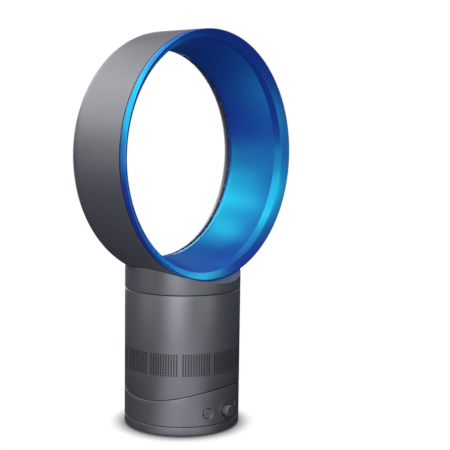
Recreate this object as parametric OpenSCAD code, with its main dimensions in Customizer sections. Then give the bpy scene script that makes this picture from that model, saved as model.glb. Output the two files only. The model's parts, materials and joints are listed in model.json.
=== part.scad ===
// Bladeless desk fan: a ring nozzle on a round column that swivels and tilts.
// Z is up from the floor, the column stands on the origin, and the air blows towards -Y.
// Loop profiles are drawn as [radius from the loop's centre, distance forward of the column's axis].

/* [Column] */
// Outside diameter of the foot, base, body and neck
column_d = 145; // [130:1:170]
// Wall of the moulded column shells
wall = 2.5; // [1.8:0.1:3.5]
// Height of the joint between foot and base
foot_joint_z = 12.6; // [11:0.1:16]
// Height of the joint between body and nozzle neck
body_joint_z = 173; // [168:1:190]
// Open joint between neighbouring shells
joint_gap = 0.6; // [0.4:0.1:1]
// Chamfer along the visible shell edges
edge_chamfer = 0.8; // [0.4:0.1:1.2]

/* [Tilt] */
// Height of the tilt joint at its lowest place, in the middle of the column
tilt_low_z = 42.6; // [40:0.1:46]
// Radius of the tilt joint about the tilt axis, which runs left to right above the column
tilt_r = 191; // [188:0.5:196]
// Largest tilt each way, in degrees
tilt_range = 10; // [4:1:10]
// Length of a rail along its curve
rail_l = 46.7; // [34:0.1:46.7]
// Distance of each rail from the middle
rail_x = 28; // [24:1:32]
// Width of a rail's stem
rail_stem_w = 3; // [2:0.5:4]
// Width of a rail's hooked head
rail_head_w = 8; // [6:0.5:9]

/* [Foot] */
// Rubber pads under the foot
pad_count = 6; // [3:1:9]
// Diameter of a pad
pad_d = 13.5; // [10:0.5:16]
// How far the pads stand below the foot
pad_proud = 0.8; // [0.5:0.1:1.5]
// Distance of the circle of pads inside the shell
pad_inset = 12; // [10:0.5:18]
// Thickness of the foot plate
foot_plate_t = 2; // [1.5:0.1:2.5]
// Stiffening ribs under the foot's deck
foot_rib_count = 12; // [6:1:16]
// Bore of the cord gland
cord_bore_d = 5; // [4:0.2:5.4]

/* [Swivel] */
// Outside diameter of the hollow spindle
spindle_d = 26; // [20:1:28]
// Teeth of the fixed swivel gear
swivel_teeth = 48; // [42:2:54]
// Teeth of the motor pinion
pinion_teeth = 12; // [10:1:14]
// Pitch diameter of the fixed swivel gear
swivel_gear_d = 48; // [42:1:54]
// Direction of the oscillation motor from the spindle, in degrees
swivel_motor_angle = 135; // [120:5:150]
// Diameter of the oscillation motor
swivel_motor_d = 26; // [22:1:28]

/* [Controls] */
// Height of the buttons and the knob above the floor
control_z = 27.5; // [27:0.5:30]
// Angle between the knob and each button, in degrees
button_angle = 21.5; // [20:0.5:26]
// Diameter of a button cap
button_d = 11.8; // [10:0.2:13]
// Travel of a button
button_travel = 1; // [0.6:0.1:1.2]
// Diameter of the knob
knob_d = 13; // [11:0.5:14]
// How far the knob stands out of the base
knob_proud = 8; // [5:0.5:10]
// Ribs round the knob
knob_rib_count = 36; // [24:1:48]

/* [Inlet grille] */
// Perforated panels round the body
panel_count = 11; // [6:1:11]
// Angle from one panel to the next, in degrees
panel_pitch = 32; // [28:0.5:32]
// Angle of the first rib between two panels, from the front, in degrees
first_rib_angle = -178; // [-180:1:-150]
// Columns of perforations in a panel
column_count = 11; // [5:1:12]
// Distance between columns round the body
column_pitch = 3.28; // [2.9:0.02:3.5]
// Width of a column
column_w = 2; // [1.2:0.1:2.4]
// Height of the lower edge of the grille
grille_z = 74.7; // [72:0.1:80]
// Height of the grille
grille_h = 27.5; // [20:0.5:30]

/* [Air mover] */
// Height of the lip of the inlet bell
inlet_z = 98; // [94:1:100]
// Inside diameter of the inlet throat
throat_d = 72; // [64:1:78]
// Space between the impeller housing's outlet and the shell
outlet_side_gap = 8; // [7:0.5:10]
// Wall of the housing and the motor bucket
housing_wall = 2; // [1.5:0.1:2.5]
// Impeller blades
blade_count = 9; // [5:1:13]
// Thickness of a blade
blade_t = 1.5; // [1:0.1:2]
// Diffuser vanes round the motor bucket
vane_count = 11; // [7:1:15]
// Outside diameter of the motor bucket
bucket_d = 84; // [78:1:90]
// Diameter of the motor
motor_d = 54; // [44:1:60]
// Height of the motor
motor_h = 19; // [14:1:22]
// Diameter of the motor shaft
shaft_d = 6; // [5:0.5:8]

/* [Nozzle loop] */
// Outside diameter of the loop
loop_d = 304; // [290:1:330]
// Height of the loop's lowest place above the joint between body and neck
loop_rise_h = 13; // [10:0.5:20]
// Distance of the loop's front rim from the column's axis
loop_front = 51.3; // [48:0.1:56]
// Wall of the outer casing
casing_t = 2.5; // [1.8:0.1:3]
// Wall of the inner casing
liner_t = 2.5; // [1.8:0.1:3]
// Position of the joint between the casings, forward of the axis
casing_joint_y = 41.8; // [38:0.1:44]
// Width of the black joint ring
joint_ring_w = 1.2; // [0.8:0.1:1.6]
// Distance of the guide surface inside the loop's outside
guide_inset = 9.4; // [7:0.1:13]
// Front edge of the guide surface, forward of the axis
guide_front = 44.3; // [42:0.1:46]
// Rear edge of the guide surface, forward of the axis
guide_back = 33; // [30:0.5:36]
// Distance of the throat, the loop's narrowest place, inside the loop's outside
throat_inset = 23; // [20:0.5:26]
// Distance of the throat behind the axis
throat_back = 27.5; // [24:0.5:29]
// Radius of the curved surface that the air follows out of the slot
coanda_r = 12; // [9:0.5:14]
// Radius of the outer casing's rear shoulder
shoulder_r = 28; // [24:0.5:32]
// Distance of the centre of that shoulder behind the axis
shoulder_back = 23.7; // [20:0.1:26]
// Radius of the rounded rear nose
nose_r = 3; // [2.4:0.1:3.4]
// Radius of the rear lip's flare
flare_r = 16.2; // [14:0.1:18]
// Distance of the centre of that flare behind the axis
flare_back = 35.3; // [33:0.1:36]
// Distance of the rear lip inside the loop's outside
lip_inset = 22; // [20:0.5:24]
// Distance of the lip's front edge behind the axis
lip_back = 38.3; // [37.5:0.1:40]
// Thickness of the lip
lip_t = 1.4; // [1:0.1:1.8]
// Spacers that hold the air slot open
spacer_count = 36; // [12:1:40]

/* [Nozzle neck] */
// Clear depth of the air duct into the loop
duct_depth = 52; // [40:1:54]
// Distance of the duct's middle forward of the axis
duct_front = 6; // [4:0.5:8]
// Bayonet lugs
lug_count = 3; // [2:1:4]
// Arc that a lug covers, in degrees
lug_arc = 12; // [8:1:14]
// Turn that frees the nozzle, in degrees
unlock_turn = 16; // [16:1:20]

/* [Clearances] */
// Gap between fitted faces of one assembly
fit_gap = 0.1; // [0.05:0.01:0.2]
// Radial running clearance of a shaft or spindle
running_gap = 0.06; // [0.03:0.01:0.1]
// Gap between faces that move past each other
moving_gap = 0.3; // [0.2:0.05:0.4]

/* [Hidden] */

$fn = 96;
// Facets of small screws, bushes and rounded corners
small_fn = 32;
// Steps along each drawn arc
arc_steps = 10;
// Overrun of every cut
cut = 1;

// Colours
grey = [0.49, 0.49, 0.53];
blue = [0.02, 0.45, 0.78];
black = [0.08, 0.08, 0.09];
rubber = [0.15, 0.15, 0.16];
steel = [0.72, 0.73, 0.75];
white = [0.86, 0.87, 0.86];
green = [0.10, 0.36, 0.20];
foam = [0.28, 0.28, 0.30];

// Column
column_r = column_d / 2;
inner_r = column_r - wall;
foot_top = foot_joint_z - joint_gap / 2;
base_bottom = foot_joint_z + joint_gap / 2;
body_top = body_joint_z - joint_gap / 2;
neck_bottom = body_joint_z + joint_gap / 2;
tilt_z = tilt_low_z + tilt_r;
loop_r = loop_d / 2;
loop_z = body_joint_z + loop_rise_h + loop_r;

// Screws
screw_d = 2.8;
screw_head_d = 5.2;
screw_head_h = 1.4;
screw_boss_d = 8;

// Foot
foot_round_r = 2.5;
foot_deck_t = 2.5;
foot_deck_z = foot_top - foot_deck_t;
foot_rib_t = 1.6;
plate_top = pad_proud + foot_plate_t;
pad_ring_r = inner_r - pad_inset;
pad_seat = 0.8;
pad_chamfer = 0.4;
foot_boss_ring_r = 38;
foot_screw_count = 4;
foot_screw_l = 5.6;

// Cord gland
cord_z = (plate_top + foot_deck_z) / 2;
gland_wall = 0.7;
gland_flange_w = 1.2;
gland_flange_t = 3;
gland_inside = 1.5;
gland_r = cord_bore_d / 2 + gland_wall;

// Spindle, slide ring and swivel gear
spindle_r = spindle_d / 2;
spindle_wall = 3;
base_deck_t = 2.5;
base_deck_top = base_bottom + base_deck_t;
slide_ring_r = 45;
slide_ring_w = 6;
slide_ring_seat = 1.2;
bearing_boss_w = 4;
bearing_boss_h = 1.9;
gear_z = base_deck_top + bearing_boss_h + moving_gap;
gear_t = 5;
gear_hub_w = 3;
gear_hub_h = 5.6;
clip_t = 1.2;
clip_w = 3;
clip_groove = 0.8;
clip_opening = 70;
clip_z = gear_z + gear_hub_h + fit_gap;
spindle_top = clip_z + clip_t + clip_groove;

// Gear teeth
pressure_angle = 20;
gear_module = swivel_gear_d / swivel_teeth;
addendum = 0.8 * gear_module;
dedendum = 1.1 * gear_module;
backlash = 0.16 * gear_module;
flank_steps = 3;
gear_centres = (swivel_teeth + pinion_teeth) * gear_module / 2;

// Oscillation motor
pinion_bore_d = 3;
pinion_tail = 1.5;
swivel_motor_z = gear_z + gear_t + 2 * moving_gap;
swivel_motor_h = 11;
motor_ear_d = 7;
motor_ear_t = 1.5;
motor_ear_r = (swivel_motor_d + motor_ear_d) / 2 - motor_ear_t;
motor_screw_d = 2;
motor_screw_l = 5;

// Tilt joint
floor_r = tilt_r - joint_gap / 2;
floor_t = 2.5;
floor_top_r = floor_r - floor_t;
cradle_r = tilt_r + joint_gap / 2;
cradle_t = 2.5;
tilt_plate_half_arc = asin(column_r / floor_top_r);
cradle_low_z = tilt_z - cradle_r - cradle_t;
cradle_post_inset = 10;
cradle_post_ring_r = inner_r - cradle_post_inset;
cradle_post_angles = [45, 135, 225, 315];
cradle_screw_grip = 4;
cradle_screw_l = cradle_low_z - base_bottom - screw_head_h + cradle_screw_grip;
wiring_hole_d = 16;
rail_head_t = 2.4;
rail_head_r = floor_top_r - moving_gap;
rail_slot_play = 0.5;
rail_half_arc = rail_l / tilt_r * 90 / PI;
rail_screw_y = 13.3;
rail_screw_turn = asin(rail_screw_y / tilt_r);
rail_screw_l = 5;
wiring_slot_half_arc = 13;
floor_rim_w = 3.2;
foam_lift = 1.1;
lower_foam_z = tilt_z - sqrt(pow(floor_top_r, 2) - pow(inner_r, 2)) + foam_lift;

// Controls
knob_gap = 0.7;
knob_inside = 6;
knob_rib_h = 0.35;
knob_edge = 0.7;
knob_cover = 3;
button_gap = 0.4;
button_rim = 0.95;
button_rim_depth = 0.9;
button_round_r = 0.8;
button_flange_w = 1.6;
button_flange_t = 1.2;
button_stem_d = 4;
board_depth = 18.5;
board_r = column_r - board_depth;
board_t = 1.6;
board_w = 60;
board_h = 20;
board_z = 17;
board_screw_inset = 3;
board_screw_x = board_w / 2 - board_screw_inset;
board_screw_z = board_z + board_screw_inset;
board_post_w = 6;
board_screw_d = 2;
board_screw_l = 5;
switch_w = 6;
switch_tip_d = 3.4;
switch_tip_h = 1;
switch_h = 2.7;
switch_tip_r = board_r / cos(button_angle) + switch_h;
encoder_w = 12;
encoder_h = 5;
encoder_bush_d = 9;
encoder_bush_h = 3;
encoder_shaft_d = 6;
encoder_depth = 3;
capacitor_d = 9;
capacitor_l = 14;
capacitor_z = board_z + board_h - capacitor_d / 2;
relay_size = [14, 9, 9];
relay_x = -7;
plug_size = [8, 6, 6];
plug_x = 11;
plug_z = 26;

// Body internals
ledge_z = 142;
ledge_t = 2.5;
ledge_w = 6.5;
bell_r = 8;
throat_z = inlet_z + bell_r;
cone_top = 132;
throat_in_r = throat_d / 2;
outlet_r = inner_r - outlet_side_gap - housing_wall;
flange_t = 2.5;
mount_h = 4;
mount_d = 6;
mount_pin_d = 3.4;
mount_count = 3;
flange_z = ledge_z + mount_h;
flange_r = inner_r - joint_gap;
mount_ring_r = inner_r - ledge_w / 2;
foam_gap = 0.3;
upper_foam_z = 108;
upper_foam_h = 12;
lower_foam_h = 12;

// Impeller and motor
impeller_gap = 0.6;
impeller_z = throat_z + impeller_gap;
impeller_top = cone_top - impeller_gap;
hub_nose_r = 12;
hub_step = 2;
hub_back_r = bucket_d / 2 - hub_step;
hub_t = 3;
hub_hollow_end = 35;
blade_curve_share = 0.7;
blade_curve_r = blade_curve_share * outlet_r;
bucket_r = bucket_d / 2;
bucket_z = cone_top + impeller_gap;
bucket_h = 19;
bucket_hole_d = 20;
vane_curve_r = outlet_r;
vane_low = 4;
vane_z = bucket_z + vane_low;
vane_h = 12;
cap_h = 13;
cap_round_r = 11;
cap_spigot_h = 3;
motor_z = bucket_z + housing_wall;
motor_top = motor_z + motor_h;
motor_step = 3;
motor_neck_d = 36;
motor_foam_h = 5;
motor_foam_d = 66;
motor_foam_bore_d = 24;
shaft_tail = 2;
nut_h = 4;
nut_d = 10;
shaft_bottom = impeller_z - nut_h - shaft_tail;

// Bayonet between body and neck
collar_w = 5;
collar_h = 12.4;
collar_bore_r = inner_r - collar_w;
collar_top = body_top - moving_gap;
collar_z = collar_top - collar_h;
collar_shoulder = 1.5;
skirt_l = 10;
skirt_t = 2.4;
skirt_r = collar_bore_r - moving_gap;
skirt_bottom = neck_bottom - skirt_l;
lug_w = 2.3;
lug_h = 3;
lug_r = skirt_r + lug_w;
notch_play = 1.5;
stop_play = 0.5;
gasket_w = 2;
seal_h = 6;
housing_top = skirt_bottom - seal_h;

// Neck
seat_gap = 0.3;
cup_arc = 44;
web_t = 2.5;
duct_t = 2;
duct_rise = 3;
duct_corner_gap = 7.9;
duct_corner_r = skirt_r - skirt_t - duct_corner_gap;
duct_w = 2 * sqrt(pow(duct_corner_r, 2) - pow(duct_front + duct_depth / 2, 2));
saddle_r = loop_r + seat_gap;

// Nozzle loop
guide_r = loop_r - guide_inset;
throat_r = loop_r - throat_inset;
lip_r = loop_r - lip_inset;
rim_round_r = 0.8;
tongue_t = 2;
tongue_l = 7;
tail_angle = 75;
ring_sunk = 0.7;
spacer_w = 1.2;
spacer_shares = [0.06, 0.3, 0.55];
shoulder_c = [loop_r - shoulder_r, -shoulder_back];
flare_c = [lip_r + flare_r, -flare_back];
nose_c = crossing(flare_c, flare_r - nose_r, shoulder_c, shoulder_r - nose_r);
coanda_c = [throat_r + coanda_r, -throat_back];
lip_bearing = -180 + asin((lip_back - flare_back) / flare_r);
rim_start_r = loop_r - 2 * rim_round_r;
inside_c = crossing(flare_c, flare_r - lip_t, shoulder_c, shoulder_r - casing_t);
joint_back = casing_joint_y - joint_ring_w / 2;
joint_front = casing_joint_y + joint_ring_w / 2;
tongue_r = loop_r - casing_t - fit_gap;

// Points along an arc, from one bearing to another; the first can be left out
function arc(centre, radius, from, to, first = 0) = [
    for (i = [first:arc_steps])
        let (a = from + (to - from) * i / arc_steps) centre + radius * [cos(a), sin(a)]
];

// Bearing of one point from another
function bearing(from, to) = atan2(to[1] - from[1], to[0] - from[0]);

// Where two circles cross, on the left of the way from the first centre to the second
function crossing(c1, r1, c2, r2) =
    let (d = c2 - c1, l = norm(d), a = (r1 * r1 - r2 * r2 + l * l) / (2 * l), h = sqrt(r1 * r1 - a * a))
    c1 + a * d / l + h * [-d[1], d[0]] / l;

// Involute of a pressure angle, in degrees
function involute(a) = tan(a) * 180 / PI - a;

// Half the angle that a tooth covers at radius r
function tooth_half(teeth, r) =
    let (
        pitch_r = teeth * gear_module / 2,
        base_r = pitch_r * cos(pressure_angle),
        half = 90 / teeth - backlash / pitch_r * 90 / PI
    )
    half + involute(pressure_angle) - involute(acos(base_r / max(r, base_r)));

// Outline of a spur gear, with a tooth on the X axis
module gear_outline(teeth) {
    root_r = teeth * gear_module / 2 - dedendum;
    tip_r = teeth * gear_module / 2 + addendum;
    radii = [for (i = [0:flank_steps]) root_r + (tip_r - root_r) * i / flank_steps];
    polygon([
        for (t = [0:teeth - 1])
            for (side = [-1, 1])
                for (i = [0:flank_steps])
                    let (
                        r = radii[side < 0 ? i : flank_steps - i],
                        a = 360 * t / teeth + side * tooth_half(teeth, r)
                    )
                    r * [cos(a), sin(a)]
    ]);
}

// A round tube between two heights
module tube(z1, z2, outer, inner) {
    translate([0, 0, z1]) difference() {
        cylinder(h = z2 - z1, r = outer);
        translate([0, 0, -cut]) cylinder(h = z2 - z1 + 2 * cut, r = inner);
    }
}

// A profile of [radius, distance along X] swept about the tilt axis, below it
module about_tilt(half_arc) {
    translate([0, 0, tilt_z]) rotate([0, 90, 0]) rotate([0, 0, -half_arc])
        rotate_extrude(angle = 2 * half_arc) children();
}

// Everything within a radius of the tilt axis
module tilt_round(r) {
    translate([-column_d, 0, tilt_z]) rotate([0, 90, 0]) cylinder(h = 2 * column_d, r = r);
}

// Children drawn along Z are laid along the loop's axis, pointing forward
module about_loop() {
    translate([0, 0, loop_z]) rotate([90, 0, 0]) children();
}

// Everything within a radius of the loop's axis
module loop_round(r) {
    about_loop() translate([0, 0, -column_d]) cylinder(h = 2 * column_d, r = r);
}

// Children drawn along Z point out of the column at the controls' height
module at_control(angle) {
    rotate([0, 0, angle]) translate([0, 0, control_z]) rotate([90, 0, 0]) children();
}

// Copies of the children round the column
module around(count, offset = 0) {
    for (i = [0:count - 1]) rotate([0, 0, offset + 360 * i / count]) children();
}

// A sector of a tube, centred on the X axis
module tube_sector(z1, z2, outer, inner, sector) {
    translate([0, 0, z1]) rotate([0, 0, -sector / 2]) rotate_extrude(angle = sector)
        translate([inner, 0]) square([outer - inner, z2 - z1]);
}

// A pan-head screw with its head down and its shank up
module screw(d, head_d, length) {
    cylinder(h = screw_head_h, d = head_d, $fn = small_fn);
    cylinder(h = screw_head_h + length, d = d, $fn = small_fn);
}

module foot_shell() {
    bore_r = spindle_r - spindle_wall;
    color(grey) difference() {
        union() {
            rotate_extrude() polygon(concat(
                [[inner_r, pad_proud]],
                arc([column_r - foot_round_r, pad_proud + foot_round_r], foot_round_r, -90, 0),
                [
                    [column_r, foot_top - edge_chamfer], [column_r - edge_chamfer, foot_top],
                    [bore_r, foot_top], [bore_r, foot_deck_z], [inner_r, foot_deck_z]
                ]
            ));
            tube(foot_deck_z, spindle_top, spindle_r, bore_r);
            around(foot_rib_count, 180 / foot_rib_count)
                translate([spindle_r, -foot_rib_t / 2, plate_top + fit_gap])
                    cube([inner_r + wall / 2 - spindle_r, foot_rib_t, foot_deck_z - plate_top]);
            around(foot_screw_count) translate([foot_boss_ring_r, 0, plate_top])
                cylinder(h = foot_deck_z + foot_deck_t / 2 - plate_top, d = screw_boss_d, $fn = small_fn);
        }
        tube(foot_top - slide_ring_seat, foot_top + cut, slide_ring_r + slide_ring_w + fit_gap,
            slide_ring_r - fit_gap);
        tube(clip_z - fit_gap, clip_z + clip_t + fit_gap, spindle_r + cut, spindle_r - clip_groove);
        around(foot_screw_count) translate([foot_boss_ring_r, 0, plate_top - cut])
            cylinder(h = foot_screw_l + cut, r = screw_d / 2 + fit_gap, $fn = small_fn);
        translate([0, inner_r - cut, cord_z]) rotate([-90, 0, 0])
            cylinder(h = wall + 2 * cut, r = gland_r + fit_gap);
    }
}

module foot_plate() {
    color(black) difference() {
        translate([0, 0, pad_proud]) cylinder(h = foot_plate_t, r = inner_r - fit_gap);
        around(pad_count, 180 / pad_count) translate([pad_ring_r, 0, pad_proud - cut])
            cylinder(h = pad_seat + cut, r = pad_d / 2 + fit_gap);
        around(foot_screw_count) translate([foot_boss_ring_r, 0, pad_proud - cut]) {
            cylinder(h = foot_plate_t + 2 * cut, r = screw_d / 2 + fit_gap, $fn = small_fn);
            cylinder(h = screw_head_h + cut, r = screw_head_d / 2 + fit_gap, $fn = small_fn);
        }
    }
}

module foot_pads() {
    color(rubber) around(pad_count, 180 / pad_count) translate([pad_ring_r, 0, 0]) {
        cylinder(h = pad_chamfer, r1 = pad_d / 2 - pad_chamfer, r2 = pad_d / 2);
        translate([0, 0, pad_chamfer]) cylinder(h = pad_proud + pad_seat - pad_chamfer, r = pad_d / 2);
    }
}

module foot_screws() {
    color(steel) around(foot_screw_count) translate([foot_boss_ring_r, 0, pad_proud])
        screw(screw_d, screw_head_d, foot_screw_l);
}

module cord_gland() {
    color(rubber) difference() {
        union() {
            difference() {
                translate([0, inner_r, cord_z]) rotate([-90, 0, 0]) {
                    cylinder(h = wall + gland_flange_t - gland_flange_w, r = gland_r + gland_flange_w);
                    translate([0, 0, wall + gland_flange_t - gland_flange_w])
                        cylinder(h = gland_flange_w, r1 = gland_r + gland_flange_w, r2 = gland_r);
                }
                cylinder(h = foot_top + gland_r, r = column_r);
            }
            translate([0, inner_r - gland_inside, cord_z]) rotate([-90, 0, 0])
                cylinder(h = gland_inside + wall + gland_flange_t / 2, r = gland_r);
        }
        translate([0, inner_r - gland_inside - cut, cord_z]) rotate([-90, 0, 0])
            cylinder(h = gland_inside + wall + gland_flange_t + 2 * cut, d = cord_bore_d);
    }
}

module slide_ring() {
    color(white)
        tube(foot_top - slide_ring_seat, base_bottom - running_gap, slide_ring_r + slide_ring_w,
            slide_ring_r);
}

module swivel_gear() {
    color(white) difference() {
        translate([0, 0, gear_z]) {
            rotate([0, 0, swivel_motor_angle]) linear_extrude(gear_t) gear_outline(swivel_teeth);
            cylinder(h = gear_hub_h, r = spindle_r + gear_hub_w);
        }
        translate([0, 0, gear_z - cut]) cylinder(h = gear_hub_h + 2 * cut, r = spindle_r + fit_gap);
    }
}

module spindle_clip() {
    color(steel) rotate([0, 0, 180])
        tube_sector(clip_z, clip_z + clip_t, spindle_r + clip_w, spindle_r - clip_groove + fit_gap,
            360 - clip_opening);
}

// The wavy upper edge follows the tilt joint
module base_shell() {
    bore_r = spindle_r + running_gap;
    color(grey) difference() {
        union() {
            difference() {
                rotate_extrude() polygon([
                    [inner_r, base_bottom], [column_r - edge_chamfer / 2, base_bottom],
                    [column_r, base_bottom + edge_chamfer / 2], [column_r, tilt_z - inner_r],
                    [inner_r, tilt_z - inner_r]
                ]);
                tilt_round(cradle_r);
            }
            tube(base_bottom, base_deck_top, inner_r + wall / 2, bore_r);
            tube(base_bottom, base_deck_top + bearing_boss_h, bore_r + bearing_boss_w, bore_r);
            cradle_posts(base_deck_top - base_deck_t / 2, cradle_low_z);
            motor_posts();
            board_posts();
        }
        for (a = cradle_post_angles) rotate([0, 0, a])
            translate([cradle_post_ring_r, 0, base_bottom - cut]) {
                cylinder(h = cradle_low_z, r = screw_d / 2 + fit_gap, $fn = small_fn);
                cylinder(h = screw_head_h + cut, r = screw_head_d / 2 + fit_gap, $fn = small_fn);
            }
        at_control(0) translate([0, 0, inner_r - cut])
            cylinder(h = wall + 2 * cut, r = knob_d / 2 + knob_gap);
        for (side = [-1, 1]) at_control(side * button_angle) button_hole();
        board_screw_places() cylinder(h = board_screw_l + cut, r = board_screw_d / 2 + fit_gap,
            $fn = small_fn);
        motor_screw_places() translate([0, 0, -motor_screw_l])
            cylinder(h = motor_screw_l + cut, r = motor_screw_d / 2 + fit_gap, $fn = small_fn);
    }
}

module button_hole() {
    hole_r = button_d / 2 + button_gap;
    translate([0, 0, inner_r - cut]) cylinder(h = wall + 2 * cut, r = hole_r);
    translate([0, 0, column_r - button_rim_depth])
        cylinder(h = 2 * button_rim_depth, r1 = hole_r, r2 = hole_r + 2 * button_rim);
}

module cradle_posts(z1, z2) {
    for (a = cradle_post_angles) rotate([0, 0, a]) translate([cradle_post_ring_r, 0, z1])
        cylinder(h = z2 - z1, d = screw_boss_d, $fn = small_fn);
}

// Places of the motor's two ears, on its mounting face
module motor_screw_places() {
    rotate([0, 0, swivel_motor_angle])
        for (side = [-1, 1]) translate([gear_centres, side * motor_ear_r, swivel_motor_z]) children();
}

module motor_posts() {
    motor_screw_places() translate([0, 0, base_deck_top - base_deck_t / 2 - swivel_motor_z])
        cylinder(h = swivel_motor_z - base_deck_top + base_deck_t / 2, d = motor_ear_d, $fn = small_fn);
}

// Places of the board's two screws, pointing back from the board's rear face
module board_screw_places() {
    for (side = [-1, 1]) translate([side * board_screw_x, board_t - board_r, board_screw_z])
        rotate([-90, 0, 0]) children();
}

module board_posts() {
    for (side = [-1, 1])
        translate([side * board_screw_x - board_post_w / 2, board_t - board_r,
            base_deck_top - base_deck_t / 2])
            cube([board_post_w, board_post_w, board_z + board_h - base_deck_top + base_deck_t / 2]);
}

module tilt_cradle() {
    color(black) difference() {
        union() {
            intersection() {
                about_tilt(tilt_plate_half_arc) translate([cradle_r, -inner_r])
                    square([cradle_t, 2 * inner_r]);
                translate([0, 0, base_bottom]) cylinder(h = tilt_z, r = inner_r - fit_gap);
            }
            difference() {
                cradle_posts(cradle_low_z, tilt_z - cradle_r + cradle_post_ring_r / 2);
                tilt_round(cradle_r + cradle_t / 2);
            }
        }
        for (a = cradle_post_angles) rotate([0, 0, a])
            translate([cradle_post_ring_r, 0, cradle_low_z - cut])
                cylinder(h = cradle_screw_grip + fit_gap + cut, r = screw_d / 2 + fit_gap,
                    $fn = small_fn);
        translate([0, 0, base_bottom]) cylinder(h = tilt_z, d = wiring_hole_d);
        rail_screw_places() translate([0, 0, -cut])
            cylinder(h = rail_screw_l + cut, r = motor_screw_d / 2 + fit_gap, $fn = small_fn);
    }
}

// Places of the rail screws, on the cradle's underside and pointing up through the rails
module rail_screw_places() {
    for (side = [-1, 1], a = [-rail_screw_turn, rail_screw_turn])
        translate([side * rail_x, 0, tilt_z]) rotate([a, 0, 0])
            translate([0, 0, -cradle_r - cradle_t]) children();
}

// Hooked rails that hold the body down on the cradle and guide its tilt
module tilt_rails() {
    color(white) difference() {
        for (side = [-1, 1]) about_tilt(rail_half_arc) {
            translate([rail_head_r - rail_head_t, side * rail_x - rail_stem_w / 2])
                square([cradle_r - rail_head_r + rail_head_t, rail_stem_w]);
            translate([rail_head_r - rail_head_t, side * rail_x - rail_head_w / 2])
                square([rail_head_t, rail_head_w]);
        }
        rail_screw_places()
            cylinder(h = rail_screw_l + fit_gap, r = motor_screw_d / 2 + fit_gap, $fn = small_fn);
    }
}

module cradle_screws() {
    color(steel) for (a = cradle_post_angles) rotate([0, 0, a])
        translate([cradle_post_ring_r, 0, base_bottom]) screw(screw_d, screw_head_d, cradle_screw_l);
}

module rail_screws() {
    color(steel) rail_screw_places() translate([0, 0, -screw_head_h])
        screw(motor_screw_d, screw_head_d, rail_screw_l);
}

module oscillation_motor() {
    color(steel) difference() {
        union() {
            rotate([0, 0, swivel_motor_angle]) translate([gear_centres, 0, swivel_motor_z]) {
                cylinder(h = swivel_motor_h - motor_ear_t, d = swivel_motor_d);
                cylinder(h = swivel_motor_h, d = swivel_motor_d - 2 * motor_ear_t);
            }
            motor_screw_places() cylinder(h = motor_ear_t, d = motor_ear_d, $fn = small_fn);
            rotate([0, 0, swivel_motor_angle])
                translate([gear_centres - motor_ear_d / 2, -motor_ear_r, swivel_motor_z])
                    cube([motor_ear_d, 2 * motor_ear_r, motor_ear_t]);
        }
        rotate([0, 0, swivel_motor_angle]) translate([gear_centres, 0, swivel_motor_z - cut])
            cylinder(h = swivel_motor_h / 2 + cut, r = pinion_bore_d / 2 + running_gap, $fn = small_fn);
        motor_screw_places() translate([0, 0, -cut])
            cylinder(h = motor_ear_t + 2 * cut, r = motor_screw_d / 2 + fit_gap, $fn = small_fn);
    }
}

module motor_screws() {
    color(steel) motor_screw_places() translate([0, 0, motor_ear_t + screw_head_h]) rotate([180, 0, 0])
        screw(motor_screw_d, motor_ear_d - 2 * motor_ear_t, motor_screw_l);
}

// The pinion's tooth gap faces a tooth of the fixed gear at rest
module oscillation_pinion() {
    color(white) rotate([0, 0, swivel_motor_angle]) translate([gear_centres, 0, gear_z]) difference() {
        rotate([0, 0, 180 - 180 / pinion_teeth]) linear_extrude(gear_t) gear_outline(pinion_teeth);
        translate([0, 0, -cut]) cylinder(h = gear_t + 2 * cut, r = pinion_bore_d / 2 + fit_gap / 2,
            $fn = small_fn);
    }
}

module pinion_shaft() {
    color(steel) rotate([0, 0, swivel_motor_angle])
        translate([gear_centres, 0, gear_z])
            cylinder(h = swivel_motor_z - gear_z + swivel_motor_h / 2 - pinion_tail, d = pinion_bore_d,
                $fn = small_fn);
}

module control_board() {
    color(green) difference() {
        union() {
            translate([-board_w / 2, -board_r, board_z]) cube([board_w, board_t, board_h]);
            translate([relay_x, board_t / 2 - board_r, board_z + board_t])
                cube(relay_size + [0, board_t / 2, 0]);
            translate([plug_x, board_t / 2 - board_r, plug_z])
                cube(plug_size + [0, board_t / 2, 0]);
            translate([relay_x, board_t - board_r + capacitor_d / 2 - fit_gap, capacitor_z])
                rotate([0, 90, 0]) cylinder(h = capacitor_l, d = capacitor_d, $fn = small_fn);
        }
        board_screw_places() translate([0, 0, -board_t - cut])
            cylinder(h = board_t + 2 * cut, r = board_screw_d / 2 + fit_gap, $fn = small_fn);
    }
}

module board_screws() {
    color(steel) board_screw_places() translate([0, 0, -board_t - screw_head_h])
        screw(board_screw_d, 2 * board_screw_d, board_screw_l);
}

module speed_encoder() {
    color(black) at_control(0) difference() {
        union() {
            translate([-encoder_w / 2, -encoder_w / 2, board_r]) cube([encoder_w, encoder_w, encoder_h]);
            translate([0, 0, board_r])
                cylinder(h = encoder_h + encoder_bush_h, d = encoder_bush_d, $fn = small_fn);
        }
        translate([0, 0, board_r + encoder_h - encoder_depth])
            cylinder(h = encoder_depth + encoder_bush_h + cut, r = encoder_shaft_d / 2 + running_gap,
                $fn = small_fn);
    }
}

// Tact switches on wedge sockets, square to their buttons
module button_switches() {
    color(black) difference() {
        for (side = [-1, 1]) at_control(side * button_angle) {
            translate([-switch_w / 2, -switch_w / 2, board_r - switch_w])
                cube([switch_w, switch_w, switch_tip_r - switch_tip_h - board_r + switch_w]);
            cylinder(h = switch_tip_r, d = switch_tip_d, $fn = small_fn);
        }
        translate([-board_w, -board_r, 0]) cube([2 * board_w, column_d, 2 * control_z]);
    }
}

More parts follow.
